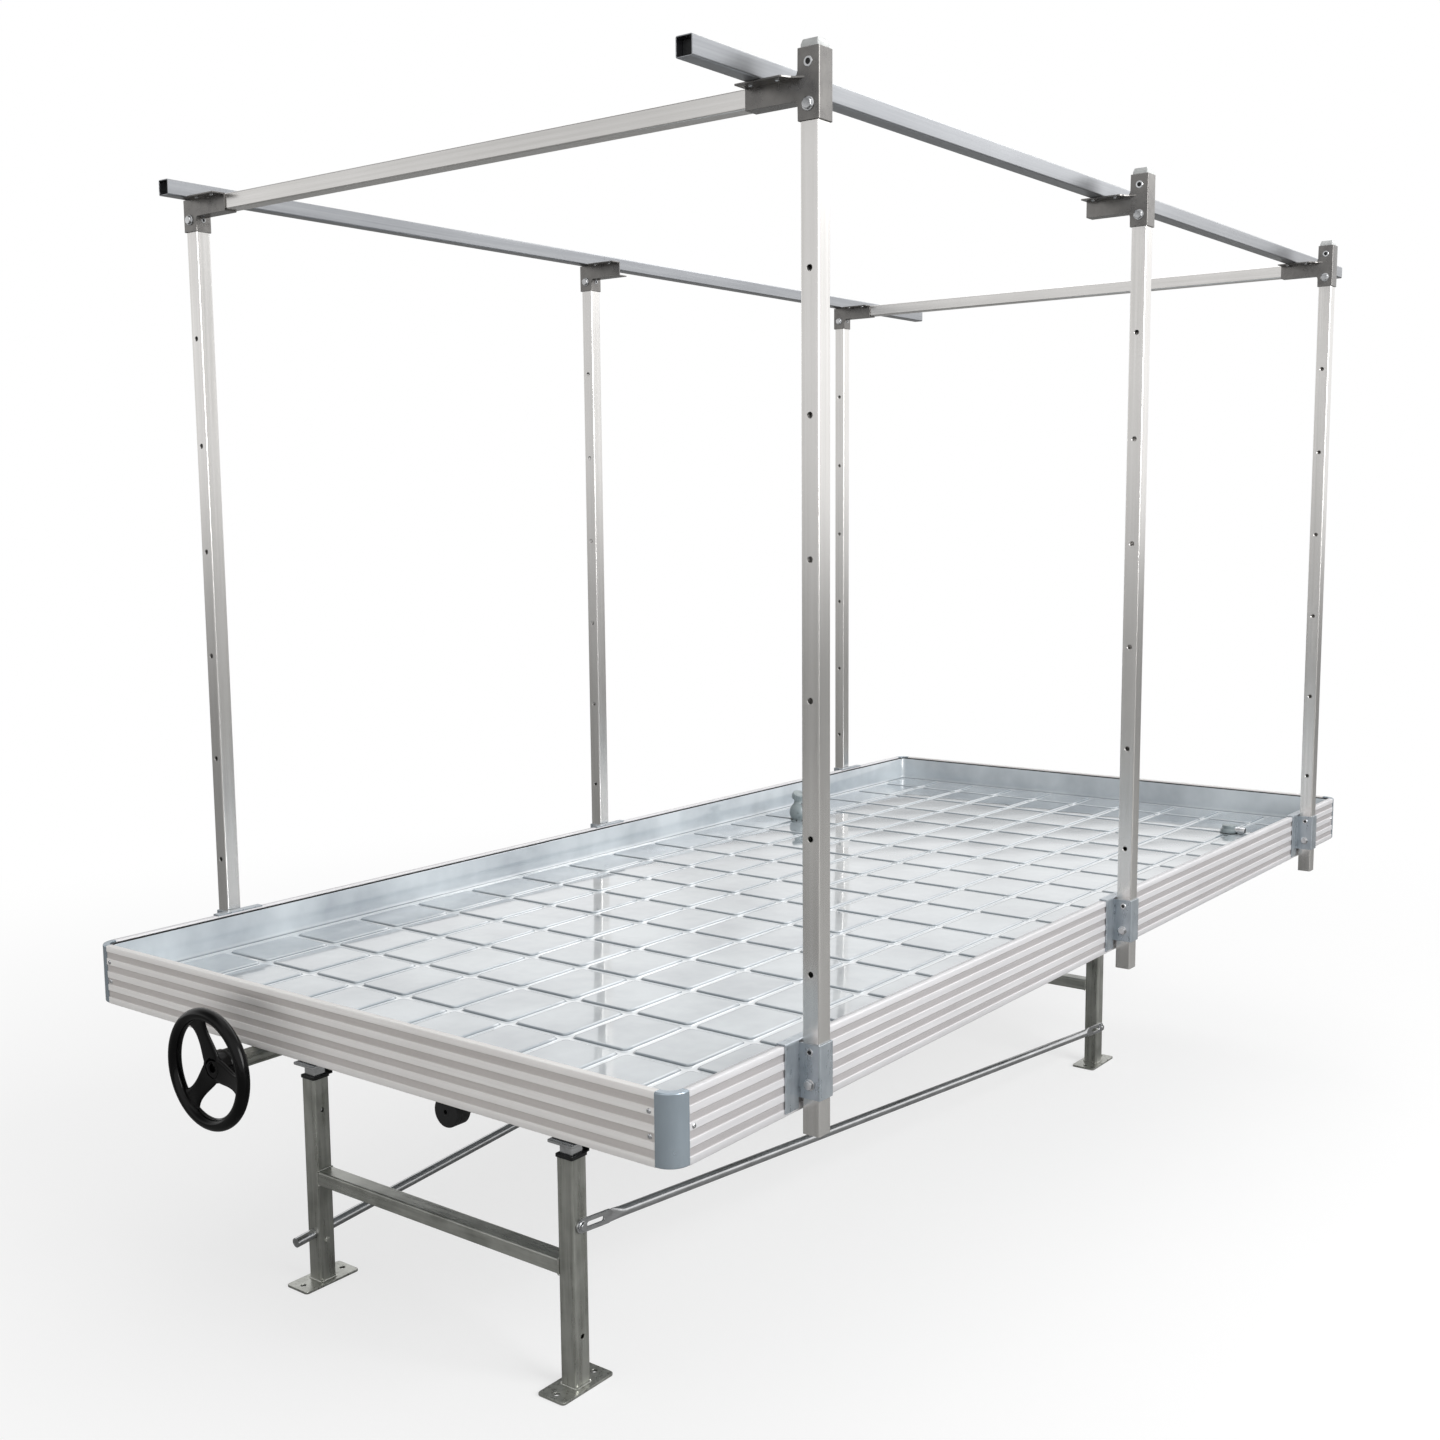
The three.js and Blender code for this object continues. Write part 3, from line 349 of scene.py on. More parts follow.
def roundedPath(points, bend, steps):
    # every inner corner becomes a short curve that touches both of its sides; gives places and corner numbers
    points = np.array(points, float)
    share = np.linspace(0, 1, steps)[:, None]
    places, numbers = [points[:1]], [np.zeros(1, int)]
    for at in range(1, len(points) - 1):
        before, corner, after = points[at - 1:at + 2]
        back, on = np.linalg.norm(corner - before), np.linalg.norm(after - corner)
        start = corner + (before - corner) / back * min(bend, back / 2.01)
        end = corner + (after - corner) / on * min(bend, on / 2.01)
        places.append((1 - share) ** 2 * start + 2 * share * (1 - share) * corner + share ** 2 * end)
        numbers.append(np.full(steps, at))
    return (np.concatenate([*places, points[-1:]]),
            np.concatenate([*numbers, np.full(1, len(points) - 1)]))


def bentSheet(points, thickness, low, high, axis, bend=3.0, steps=5):
    # the path is the sheet's middle line; at each place an eight-sided ring goes round the sheet from low to high
    edge, half = 0.4, thickness / 2
    places, numbers = roundedPath(points, bend, steps)
    ahead = np.gradient(places, axis=0)
    ahead /= np.linalg.norm(ahead, axis=1)[:, None]
    order = np.concatenate([[0], np.arange(len(numbers)), [len(numbers) - 1]])
    places, ahead = places[order], ahead[order]
    places[1] += ahead[1] * edge
    places[-2] -= ahead[-2] * edge
    low, high = (np.broadcast_to(level, len(points))[numbers][order] for level in (low, high))
    inset = np.zeros(len(places))
    inset[[0, -1]] = edge
    side = np.column_stack([-ahead[:, 1], ahead[:, 0]])
    out = np.array([half, half, half - edge, edge - half, -half, -half, edge - half, half - edge])
    out = np.sign(out) * np.maximum(np.abs(out)[None] - inset[:, None], 0.05)
    up = np.stack([low + edge, high - edge, high, high, high - edge, low + edge, low, low], 1)
    up += inset[:, None] * np.array([1, -1, -1, -1, -1, 1, 1, 1])
    grid = np.concatenate([places[:, None] + side[:, None] * out[..., None], up[..., None]], -1)
    return gridShell(turnTo(grid, axis))


def weldBead(loop, height, radius, ripple):
    # a small round section carried round a closed loop, swelling and thinning as it goes
    angle = circle(8)
    ahead = np.roll(loop, -1, 0) - np.roll(loop, 1, 0)
    ahead /= np.linalg.norm(ahead, axis=1)[:, None]
    side = np.column_stack([ahead[:, 1], -ahead[:, 0]])
    size = radius * (1 + 0.16 * np.sin(circle(len(loop)) * ripple))[:, None]
    flat = loop[:, None] + side[:, None] * (size * np.cos(angle))[..., None]
    return gridShell(np.concatenate([flat, (height + size * np.sin(angle))[..., None]], -1), True)


# Fasteners: each stands on a face; the seat is its middle, the face's place, the outward sign and the axis

def standing(profile, seat, steps=32, **more):
    middle, face, direction, axis = seat
    return turned([(radius, face + direction * rise) for radius, rise in profile], middle, axis, steps, **more)


def hexBolt(seat, size, head, flange):
    # a flanged hexagon head with eased corners
    corner = size / 2 / math.cos(math.pi / 6)
    base = [(flange - 0.6, 0), (flange, 0.5), (flange, 1.1), (flange * 0.82, 2.1)]
    hexagon = [(corner, 0.6), (corner, head - 0.9), (size * 0.49, head - 0.2), (size * 0.45, head)]
    return [standing(base, seat), standing(hexagon, seat, 24, flats=size / 2)]


def rivetNut(seat, radius, flange):
    # a flanged threaded insert: ring with a sunk floor in its bore
    return standing([(flange - 0.4, -0.3), (flange, 0.4), (flange - 0.5, 1.0), (radius + 0.5, 1.1), (radius, 0.8),
                     (radius, 0.1), (radius * 0.3, 0.1)], seat)


def boreShadeDisc(seat, radius):
    # a matt black disc at the bottom of a threaded bore, as painted shade of the bore
    return standing([(radius - 0.1, 0.12), (radius - 0.1, 0.3), (radius * 0.4, 0.3)], seat, 20)


def screwHead(seat, radius=4.5, head=2.2):
    # a low domed head with a round socket sunk into its middle
    return standing([(radius, -0.3), (radius, head * 0.35), (radius * 0.86, head * 0.75), (radius * 0.55, head),
                     (radius * 0.42, head), (radius * 0.36, head * 0.4)], seat, 20)


# Pieces

def joinScene(name, data):
    item = bpy.data.objects.new(name, data)
    bpy.context.scene.collection.objects.link(item)
    return item


def makePiece(name, shells, material, node, slot, sharpFrom=35.0, marks=None, crisp=True):
    # shells of one piece go into one mesh; it rides on the body of the CAD node that it stands for
    starts = np.cumsum([0] + [len(points) for points, faceSets in shells])
    corners = [np.atleast_2d(faceSet) + start for start, (points, faceSets) in zip(starts, shells)
               for faceSet in faceSets]
    sizes = np.concatenate([np.full(len(faceSet), faceSet.shape[1]) for faceSet in corners])
    order = np.concatenate([faceSet.ravel() for faceSet in corners])
    places = np.concatenate([points for points, faceSets in shells]) * mm
    mesh = bpy.data.meshes.new(name)
    mesh.vertices.add(starts[-1])
    mesh.vertices.foreach_set("co", places.astype(np.float32).ravel())
    mesh.loops.add(len(order))
    mesh.loops.foreach_set("vertex_index", order.astype(np.int32))
    mesh.polygons.add(len(sizes))
    mesh.polygons.foreach_set("loop_start", (np.cumsum(sizes) - sizes).astype(np.int32))
    mesh.update(calc_edges=True)
    if marks is not None:
        # sunk bands of the edge profile, which the material paints darker as painted shade
        mesh.attributes.new("recess", "FLOAT", "POINT").data.foreach_set("value", marks.astype(np.float32))
    work = bmesh.new()
    work.from_mesh(mesh)
    bmesh.ops.recalc_face_normals(work, faces=work.faces)
    work.to_mesh(mesh)
    work.free()
    mesh.shade_smooth()
    mesh.set_sharp_from_angle(angle=math.radians(sharpFrom))
    mesh.materials.append(material)
    piece = joinScene(name, mesh)
    if crisp:
        # large faces keep their own direction, so that a tube's flats stay flat up to the rounded edge
        flats = piece.modifiers.new("flats", "WEIGHTED_NORMAL")
        flats.keep_sharp = True
    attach(piece, frame["nodes"][node]["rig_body"])
    return piece


def standIn(ending, shells, material, node, slot, **more):
    # the piece is named after the CAD node that it takes the place of
    piece = makePiece(camelName(node) + ending, shells, material, node, slot, **more)
    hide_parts(node)


def extra(ending, shells, material, node, slot):
    # a piece that rides with a CAD node's body without taking the node's place
    makePiece(camelName(node) + ending, shells, material, node, slot)


def dressNode(name, material, ease=0.5):
    # the CAD node stays; its loose triangles are welded, flat parts joined and sharp edges eased
    node = frame["nodes"][name]
    node.data.materials.clear()
    node.data.materials.append(material)
    weld = node.modifiers.new("weld", "WELD")
    weld.merge_threshold = 0.00002
    flats = node.modifiers.new("flats", "DECIMATE")
    flats.decimate_type = "DISSOLVE"
    flats.angle_limit = math.radians(1)
    bevel = node.modifiers.new("ease", "BEVEL")
    bevel.width = ease * mm
    bevel.segments = 2
    bevel.limit_method = "ANGLE"
    bevel.angle_limit = math.radians(40)


# Bench edge: ribbed profiles and corner pieces. Depths count from the outer face, heights from the bottom.

rim = {"height": 120.0, "sink": 1.5, "band": 13.5, "bands": 8, "ease": 0.7, "lip": 14.0, "lipDrop": 12.0,
       "thick": 3.0, "shelf": 24.0, "shelfRise": 41.0, "inner": 4.0, "bead": 7.0, "beadHeight": 6.0,
       "cornerReach": 38.0, "cornerRadius": 36.0, "cornerThick": 7.3, "tongue": 32.0, "gap": 0.3,
       "screwInset": 10.0, "screws": {"y": (4.5,), "x": (6.5, 3.5)}}
benchLow, benchHigh = nodeBox("front_left_corner")[0], nodeBox("rear_right_corner")[1]
rimTop = benchHigh[2]
rimFoot = rimTop - rim["height"]


def profileSection():
    # soft steps between raised and sunk bands, then the lip, the shelf and the bead at the foot
    share, offset = np.array([0, 0, 0.3, 0.7, 1, 1]), np.array([-2.4, -1, -0.35, 0.35, 1, 2.4]) * rim["ease"]
    number = np.arange(rim["bands"])[:, None]
    sunk = np.where(number % 2, 1 - share, share)
    steps = np.stack([rim["sink"] * sunk, (number + 1) * rim["band"] + offset], -1).reshape(-1, 2)
    top, inner, lip, thick = rim["height"], rim["inner"], rim["lip"], rim["thick"]
    drop, shelf, rise = top - rim["lipDrop"], rim["shelf"], rim["shelfRise"]
    rest = [[0, top - 1.6], [0.5, top - 0.5], [1.6, top], [lip - 0.8, top], [lip, top - 0.8], [lip, drop],
            [lip - thick, drop], [lip - thick, top - thick], [inner, top - thick], [inner, rise], [shelf, rise],
            [shelf, rise - thick], [inner, rise - thick], [inner, rim["beadHeight"]],
            [rim["bead"], rim["beadHeight"]], [rim["bead"], 0]]
    return (np.concatenate([[[1.0, 0.0], [0.0, 1.0]], steps, rest]),
            np.concatenate([np.zeros(2), sunk.ravel(), np.zeros(len(rest))]))


def edgeProfile(name, axis, sign):
    # the section carried from corner piece to corner piece, with screws near both ends
    section, marks = profileSection()
    along = "xyz".index(axis)
    start, end = np.array([benchLow, benchHigh])[:, along] + np.array([1, -1]) * (rim["cornerReach"] + rim["gap"])
    outer = (benchHigh if sign > 0 else benchLow)[1 - along]
    outline = np.column_stack([outer - sign * section[:, 0], rimFoot + section[:, 1]])
    rings = np.stack([turnTo(atHeight(outline, place), axis) for place in (start, end)])
    standIn("Extrusion", [gridShell(rings)], ribbedAluminium[axis], name, "ribbed_aluminium", sharpFrom=50.0,
            marks=np.tile(marks, 2), crisp=False)
    screws = []
    for place in (start + rim["screwInset"], end - rim["screwInset"]):
        for band in rim["screws"][axis]:
            # odd bands are the sunk ones
            face = outer - sign * rim["sink"] * (int(band) % 2)
            screws.append(screwHead(((place, rimFoot + band * rim["band"]), face, sign, "yx"[along])))
    extra("Screws", screws, brightZinc, name, "bright_steel")


def arc(middle, size, start, end):
    turn = np.radians(np.linspace(start, end, 5))
    return np.column_stack([middle[0] + size * np.cos(turn), middle[1] + size * np.sin(turn)])


def cornerPiece(name):
    # a section with rounded foot and top carried round a quarter circle, with short flats at both ends
    sign = np.array([1 if "right" in name else -1, 1 if "rear" in name else -1])
    edge = np.where(sign > 0, benchHigh[:2], benchLow[:2])
    radius, reach, thick = rim["cornerRadius"], rim["cornerReach"], rim["cornerThick"]
    top, lip, back = rim["height"], rim["lip"], rim["lip"] - rim["thick"]
    drop, under = top - rim["lipDrop"], top - rim["thick"] - 0.6
    depth, up = np.concatenate([
        arc((3.0, 3.0), 3.0, 270, 180), arc((3.2, top - 3.2), 3.2, 180, 90),
        [[lip - 0.6, top], [lip, top - 0.6], [lip, drop], [back, drop], [back, under], [thick, under],
         [thick, 0.5], [thick - 0.5, 0.0]],
    ]).T
    turn = np.radians(np.linspace(0, 90, 17))[:, None]
    flat = np.full(len(depth), reach)
    x = np.concatenate([[flat], radius - (radius - depth) * np.sin(turn), [depth]])
    y = np.concatenate([[depth], radius - (radius - depth) * np.cos(turn), [flat]])
    shell = gridShell(np.stack([edge[0] - sign[0] * x, edge[1] - sign[1] * y,
                                np.broadcast_to(rimFoot + up, x.shape)], -1))
    # two tongues reach behind the profiles
    deep, start, end = rim["inner"] + rim["gap"] + rim["thick"] / 2, reach - 4, reach + rim["tongue"]
    heights = (rimFoot + rim["shelfRise"] + 0.5, rimTop - rim["lipDrop"] - 0.5)
    paths = np.array([[(start, deep), (end, deep)], [(deep, start), (deep, end)]])
    tongues = [bentSheet(edge - sign * path, rim["thick"], *heights, "z") for path in paths]
    standIn("Casting", [shell, *tongues], cornerCoat, name, "grey_corner")


for name, axis, sign in (("left_profile", "y", -1), ("right_profile", "y", 1),
                         ("front_profile", "x", -1), ("rear_profile", "x", 1)):
    edgeProfile(name, axis, sign)
for name in ("front_left_corner", "front_right_corner", "rear_left_corner", "rear_right_corner"):
    cornerPiece(name)
for number in range(1, 5):
    dressNode(f"cross_member_{number}", galvanised["x"])
print("bench edge made")


# Growing tray: pads, channels and walls

tray = {"rise": 5.0, "channel": 12.0, "taper": 4.8, "crown": 0.45, "padCorner": 9.0, "margin": 47.0, "columns": 10,
        "rowPitch": 180.0, "firstRow": 96.0, "floor": 4.0, "floorEdge": 22.0, "outside": 4.2, "wall": 6.6,
        "draft": 1.6, "fillet": 10.0, "skirt": 21.0, "cornerRadius": 21.0}
trayLow, trayHigh, trayMiddle = nodeBox("growing_tray")


def channelMiddles():
    # across and along the bench
    across = np.linspace(benchLow[0] + tray["margin"], benchHigh[0] - tray["margin"], tray["columns"] + 1)
    length = benchHigh[1] - benchLow[1]
    steps = np.arange(tray["firstRow"], length - tray["firstRow"], tray["rowPitch"])
    along = benchLow[1] + np.concatenate([[tray["margin"]], steps, [length - tray["margin"]]])
    return across, along


def gridLines(middles, low, high):
    # lines crowd round every channel, where the height changes, and one more runs through each pad
    near = np.array([0, 4.6, 5.8, 6.9, 8.4, 9.9, 11.0, 13.4, 17.4, 34.0])
    offsets = np.concatenate([-near[:0:-1], near])
    pads = (middles[1:] + middles[:-1]) / 2
    lines = np.concatenate([(middles[:, None] + offsets).ravel(), pads, [low, high]])
    return np.unique(np.round(np.clip(lines, low, high), 3))


def insidePad(values, middles):
    # distance inwards from the middle of the slope round the nearest pad
    at = np.clip(np.searchsorted(middles, values) - 1, 0, len(middles) - 2)
    half = (middles[at + 1] - middles[at]) / 2
    return half - (tray["channel"] + tray["taper"]) / 2 - np.abs(values - middles[at] - half)


def padHeight(x, y, across, along):
    # a smooth slope leads up to each pad's rounded outline, and its top is very slightly crowned
    insideX, insideY = insidePad(x, across)[None], insidePad(y, along)[:, None]
    corner = tray["padCorner"]
    depth = corner - np.hypot(np.maximum(corner - insideX, 0), np.maximum(corner - insideY, 0))
    share = np.clip(depth / tray["taper"] + 0.5, 0, 1)
    crown = np.clip(insideX / 55, 0, 1) * np.clip(insideY / 70, 0, 1)
    slope = (tray["rise"] - tray["crown"]) * share * share * (3 - 2 * share)
    return slope + tray["crown"] * np.sin(crown * math.pi / 2)


def trayFloor():
    # the formed surface, closed by a flat one just above the tray's underside
    across, along = channelMiddles()
    x = gridLines(across, benchLow[0] + tray["floorEdge"], benchHigh[0] - tray["floorEdge"])
    y = gridLines(along, benchLow[1] + tray["floorEdge"], benchHigh[1] - tray["floorEdge"])
    height = trayLow[2] + tray["floor"] + padHeight(x, y, across, along)
    top = np.stack([*np.broadcast_arrays(x[None], y[:, None]), height], -1).reshape(-1, 3)
    number = np.arange(height.size).reshape(height.shape)
    border = np.concatenate([number[0, :-1], number[:-1, -1], number[-1, :0:-1], number[:0:-1, 0]])
    under = atHeight(top[border, :2], trayLow[2] + 0.2)
    lower = len(top) + np.arange(len(border))
    sides = np.stack([border, np.roll(border, -1), np.roll(lower, -1), lower], -1)
    return np.concatenate([top, under]), [gridFaces(*height.shape, False, False), sides, lower[None]]


def trayRings(loop):
    # an inset from the tray's outline and a height for each ring, joined into a closed band round the tray
    rings = []
    for inset, height in loop:
        outline = roundedRectangle(*(trayHigh - trayLow)[:2] - 2 * inset, tray["cornerRadius"] - inset, 12)
        rings.append(atHeight(outline + trayMiddle[:2], height))
    return gridShell(np.stack(rings), True)


def trayWalls():
    # a wall section with rounded foot and rim
    bottom, top, wall, outside = trayLow[2], trayHigh[2], tray["wall"], tray["outside"]
    floor, fillet = bottom + tray["floor"] + 0.08, tray["fillet"]
    turn = np.radians(np.linspace(0, 90, 7))
    foot = np.column_stack([wall + tray["draft"] + fillet - fillet * np.sin(turn),
                            floor + fillet - fillet * np.cos(turn)])
    return trayRings([
        (tray["skirt"], floor), *foot, (wall + 0.4, top - 1.5), (wall - 0.2, top - 0.4), (wall - 0.8, top),
        (outside + 0.7, top), (outside, top - 0.6), (outside, bottom + 0.6), (outside + 0.6, bottom),
        (tray["skirt"], bottom)])


def trayShadeStrip():
    # a low rounded matt black strip that fills the gap between the tray's edge and the lip of the profile, as
    # painted shadow of the gap
    return trayRings([(inset, trayHigh[2] + rise) for inset, rise in (
        (-0.1, -4), (-0.1, 2.0), (0.8, 2.8), (3.6, 2.8), (4.6, 1.8), (4.6, -4))])


# the black strip paints the shadow in the gap under the lip
extra("Seal", [trayShadeStrip()], mattBlack, "growing_tray", "black_plastic")
standIn("Sheet", [trayFloor(), trayWalls()], traySheet, "growing_tray", "tray_sheet", sharpFrom=60.0, crisp=False)
print("tray made")


# Tray fittings

fitting = {
    "middle": 26.0, "capHeight": 78.0, "capLean": 24.0, "pinCircle": 22.6, "pins": (-115, -70, -25, 20, 110, 200),
    "tall": [(26, 0), (26, 4.5), (24.5, 5.6), (21, 6), (22.5, 10), (26, 17), (27.6, 25), (27.2, 34), (24.6, 42),
             (20, 49), (15.5, 54), (13.5, 58), (13, 74), (9, 79)],
    "low": [(26, 0), (26, 2.4), (25, 3.4), (24, 4), (24, 12), (22, 16), (19, 18), (19, 24), (18, 27), (14, 28)],
    "cap": [(9, -9), (17, -10), (18.6, -9), (19, -7.6), (19, 6), (18.4, 7.6), (16.6, 8.6), (9, 9.4)],
    "nozzle": [(9, 12), (9, 27), (10.5, 28), (10.5, 32), (9, 33), (9, 46), (8.4, 47.4), (6.6, 47.4), (6.2, 46),
               (6.2, 14)],
}


def tiltedCap(middle, height):
    # a ribbed round cap that leans over towards the right and the front
    points, faces = turned(fitting["cap"], (0.0, 0.0), "z", 48)
    reach, turn = np.hypot(points[:, 0], points[:, 1]), np.arctan2(points[:, 1], points[:, 0])
    ribs = 1 + 0.035 * np.cos(16 * turn) * (reach > 18)
    lean = np.array(Matrix.Rotation(math.radians(fitting["capLean"]), 3, (0.35, 0.94, 0.0)))
    return points * np.column_stack([ribs, ribs, np.ones(len(points))]) @ lean.T + (*middle, height), faces


def trayFitting(name, kind):
    # the body stands in the tray, its hollow tail and nut hang below, and a nozzle sticks out sideways
    low, high, middle = nodeBox(name)
    middle = np.array([low[0] + fitting["middle"], middle[1]])
    floor = trayLow[2] + tray["floor"] + 0.3
    seat = (middle, floor, 1, "z")
    rise = high[2] - floor
    if kind == "tall":
        body = [standing(fitting["tall"], seat, 40), tiltedCap(middle, floor + fitting["capHeight"])]
        dark = []
        for turn in np.radians(fitting["pins"]):
            place = middle + fitting["pinCircle"] * np.array([math.cos(turn), math.sin(turn)])
            dark.append(standing([(3.4, 4.0), (3.4, 6.4), (2.6, 7.2)], (place, floor, 1, "z"), 12))
    else:
        share = rise / fitting["low"][-1][1]
        body = [standing([(radius, up * share) for radius, up in fitting["low"]], seat, 40)]
        dark = [standing([(24.4, 4.4), (24.4, 6.6)], seat, 40)]
    tail = turned([(16, low[2] + 0.8), (15.2, low[2]), (12.2, low[2]), (12, low[2] + 1), (12, floor - 1),
                   (16, floor - 0.5)], middle, "z", 24, hollow=True)
    nut = standing([(27, 0.3), (27.5, 1.2), (27.5, 11.4), (24.4, 12.3)], (middle, trayLow[2], -1, "z"), 24,
                   flats=23.6)
    nozzle = standing(fitting["nozzle"], ((middle[1], floor + rise / 2), middle[0], 1, "x"), 24, hollow=True)
    standIn("Body", [*body, tail, nut], fittingGrey, name, "fitting_plastic")
    extra("Nozzle", [nozzle], brightZinc, name, "bright_steel")
    extra("Seals", dark, mattBlack, name, "black_plastic")


trayFitting("tall_tray_fitting", "tall")
trayFitting("low_tray_fitting", "low")


# Roller pipes, cups and handwheel, all turned round an axis along the bench

pipe = {"wall": 2.6, "cupBore": 17.1}


def roundPiece(ending, name, section, material, slot):
    # the section is worked out from the outer radius and the two ends
    low, high, middle = nodeBox(name)
    profile = section((high[0] - low[0]) / 2, low[1], high[1])
    standIn(ending, [turned(profile, middle[[0, 2]], "y", 48, hollow=True)], material, name, slot)


def pipeSection(radius, start, end):
    wall = pipe["wall"]
    return [(radius - 0.6, start), (radius, start + 0.6), (radius, end - 0.6), (radius - 0.6, end),
            (radius - wall, end), (radius - wall, start)]


def cupSection(radius, start, end):
    # a closed bottom, one fine groove and a collar that narrows towards the pipe
    bore = pipe["cupBore"]
    return [(radius - 3, start), (radius - 0.9, start + 0.9), (radius, start + 3), (radius, start + 10),
            (radius - 0.8, start + 10.8), (radius - 0.8, start + 12.2), (radius, start + 13), (radius, end - 9),
            (radius - 1, end - 7.4), (radius - 7.2, end - 0.8), (radius - 8.5, end), (bore, end),
            (bore - 0.1, start + 4), (4, start + 4), (4, start)]


for name in ("left_roller_pipe", "right_roller_pipe"):
    roundPiece("Tube", name, pipeSection, galvanised["y"], "galvanised_steel")
roundPiece("Moulding", "wheel_cup", cupSection, glossBlack, "black_plastic")
roundPiece("Moulding", "pipe_end_cup", cupSection, mattBlack, "black_plastic")

wheel = {"tube": 12.5, "thick": 9.5, "spokes": (110, 230, 350), "spokeStart": 20.0, "waist": 31.0, "hubFlare": 30.0,
         "rimFlare": 40.0, "hub": [(30, 14), (29.2, 11), (27, 9), (24, 8), (22.5, 8.6), (21, 8), (12, 7.4),
                                   (10.5, 8.4), (8.5, 8.4), (7.8, 12), (2.0, 12)]}


def polarShell(middle, reach, angle, deep, closed):
    # places given by reach and angle round the wheel's axis and by depth along it
    across, up = middle[0] + reach * np.cos(angle), middle[1] + reach * np.sin(angle)
    return gridShell(turnTo(np.stack(np.broadcast_arrays(across, up, deep), -1), "y"), closed)


def wheelRim(middle, radius, plane):
    # a full round ring, slightly flattened towards the hub
    around = circle(28)
    flatten = np.where(np.cos(around) < 0, 0.92, 1.0)
    reach = radius - wheel["tube"] + wheel["tube"] * np.cos(around) * flatten
    return polarShell(middle, reach, circle(96)[:, None], plane + wheel["tube"] * np.sin(around), True)


def wheelSpoke(middle, radius, plane, hubPlane, degrees):
    # a flat rounded bar that widens into the hub and into the ring; its ends bend along circles about the hub
    share, around = np.linspace(0, 1, 30)[:, None], circle(24)
    reach = wheel["spokeStart"] + share * (radius - wheel["tube"] - wheel["spokeStart"] - 4)
    width = wheel["waist"] + wheel["hubFlare"] * (1 - share) ** 3 + wheel["rimFlare"] * share ** 7
    thick = wheel["thick"] * (1 - 0.12 * np.sin(math.pi * share))
    wide = np.sign(np.cos(around)) * np.abs(np.cos(around)) ** 0.55
    high = np.sign(np.sin(around)) * np.abs(np.sin(around)) ** 0.7
    deep = hubPlane + (plane - hubPlane) * share ** 1.6 + high * thick / 2
    return polarShell(middle, reach, math.radians(degrees) + wide * width / 2 / reach, deep, False)


def handwheel():
    low, high, middle = nodeBox("handwheel")
    middle, radius, plane = middle[[0, 2]], (high[0] - low[0]) / 2, low[1] + wheel["tube"]
    hub = turned([(30, high[1]), *((reach, plane + deep) for reach, deep in wheel["hub"])], middle, "y", 56)
    spokes = [wheelSpoke(middle, radius, plane + 1, plane + 12, turn) for turn in wheel["spokes"]]
    standIn("Moulding", [wheelRim(middle, radius, plane), hub, *spokes], glossBlack, "handwheel", "black_plastic",
            sharpFrom=50.0)


handwheel()
print("pipes and handwheel made")


# Stands

stand = {"leg": 38.0, "across": 350.0, "corner": 4.0, "wall": 2.0, "rail": (38.0, 72.0), "railWall": 2.5,
         "inner": (30.0, 30.0), "innerCorner": 3.0, "plate": 30.0, "plateThick": 5.0,
         "footBead": (38.5, 38.5, 4.2, 14), "barBead": (38.6, 30.6, 4.2, 12)}


def tubePiece(name, axis, sizes, material, slot):
    # a square tube from end to end of its CAD box
    low, high, middle = nodeBox(name)
    cross, along = others(axis), "xyz".index(axis)
    ends = low[along], high[along]
    tube = squareTube((high - low)[cross], sizes["corner"], sizes["wall"], middle[cross], ends, axis)
    standIn("Tube", [tube], material, name, slot)


def liftFrame(name):
    # the rail that carries the pipes, on two inner legs with a top plate each
    low, high, middle = nodeBox(name)
    size, plate, railLow = stand["rail"], stand["plate"], high[2] - stand["rail"][1]
    plateLow, railMiddle = railLow - stand["plateThick"], (middle[1], high[2] - size[1] / 2)
    shells = [squareTube(size, stand["corner"], stand["railWall"], railMiddle, (low[0], high[0]), "x", steps=6)]
    for across in (-stand["across"], stand["across"]):
        spot = np.array([across, middle[1]])
        shells += [squareTube(stand["inner"], stand["innerCorner"], stand["wall"], spot, (low[2], plateLow), "z"),
                   roundedBlock((*spot - plate, plateLow - 0.2), (*spot + plate, railLow - 0.1), 3.0)]
    standIn("Tubes", shells, brightZinc, name, "galvanised_steel")


for row in ("front", "rear"):
    for side in ("left", "right"):
        leg, bush = f"{row}_{side}_leg", f"{row}_{side}_bush"
        dressNode(leg, galvanised["z"], 0.6)
        dressNode(bush, mattBlack, 0.7)
        low, high, middle = nodeBox(bush)
        foot = roundedRectangle(*stand["footBead"]) + (middle[0], low[1] + 21)
        extra("FootWeld", [weldBead(foot, 5.6, 2.2, 30)], galvanised["z"], leg, "galvanised_steel")
    bar = f"{row}_stand_bar"
    tubePiece(bar, "x", stand, galvanised["x"], "galvanised_steel")
    low, high, middle = nodeBox(bar)
    bead, faces = weldBead(roundedRectangle(*stand["barBead"]), 0, 2.0, 26)
    beads = [(turnTo(bead, "x") + (end, *middle[1:]), faces) for end in (low[0], high[0])]
    extra("Welds", beads, galvanised["x"], bar, "galvanised_steel")
    liftFrame(f"{row}_lift_frame")


# Braces, made along x from the first bolt and then laid from one end to the other

brace = {"radius": 10.0, "tab": ((-13.0, 84.0), 26.0), "slot": ((13.0, 59.0), 9.0), "tabThick": 4.0,
         "shaftStart": 78.0, "swage": 35.0, "flatWidth": 12.4, "flatThick": 1.9, "bolt": (14.0, 6.0, 9.5),
         "high": 305.0, "low": 106.0, "stub": 45.0}


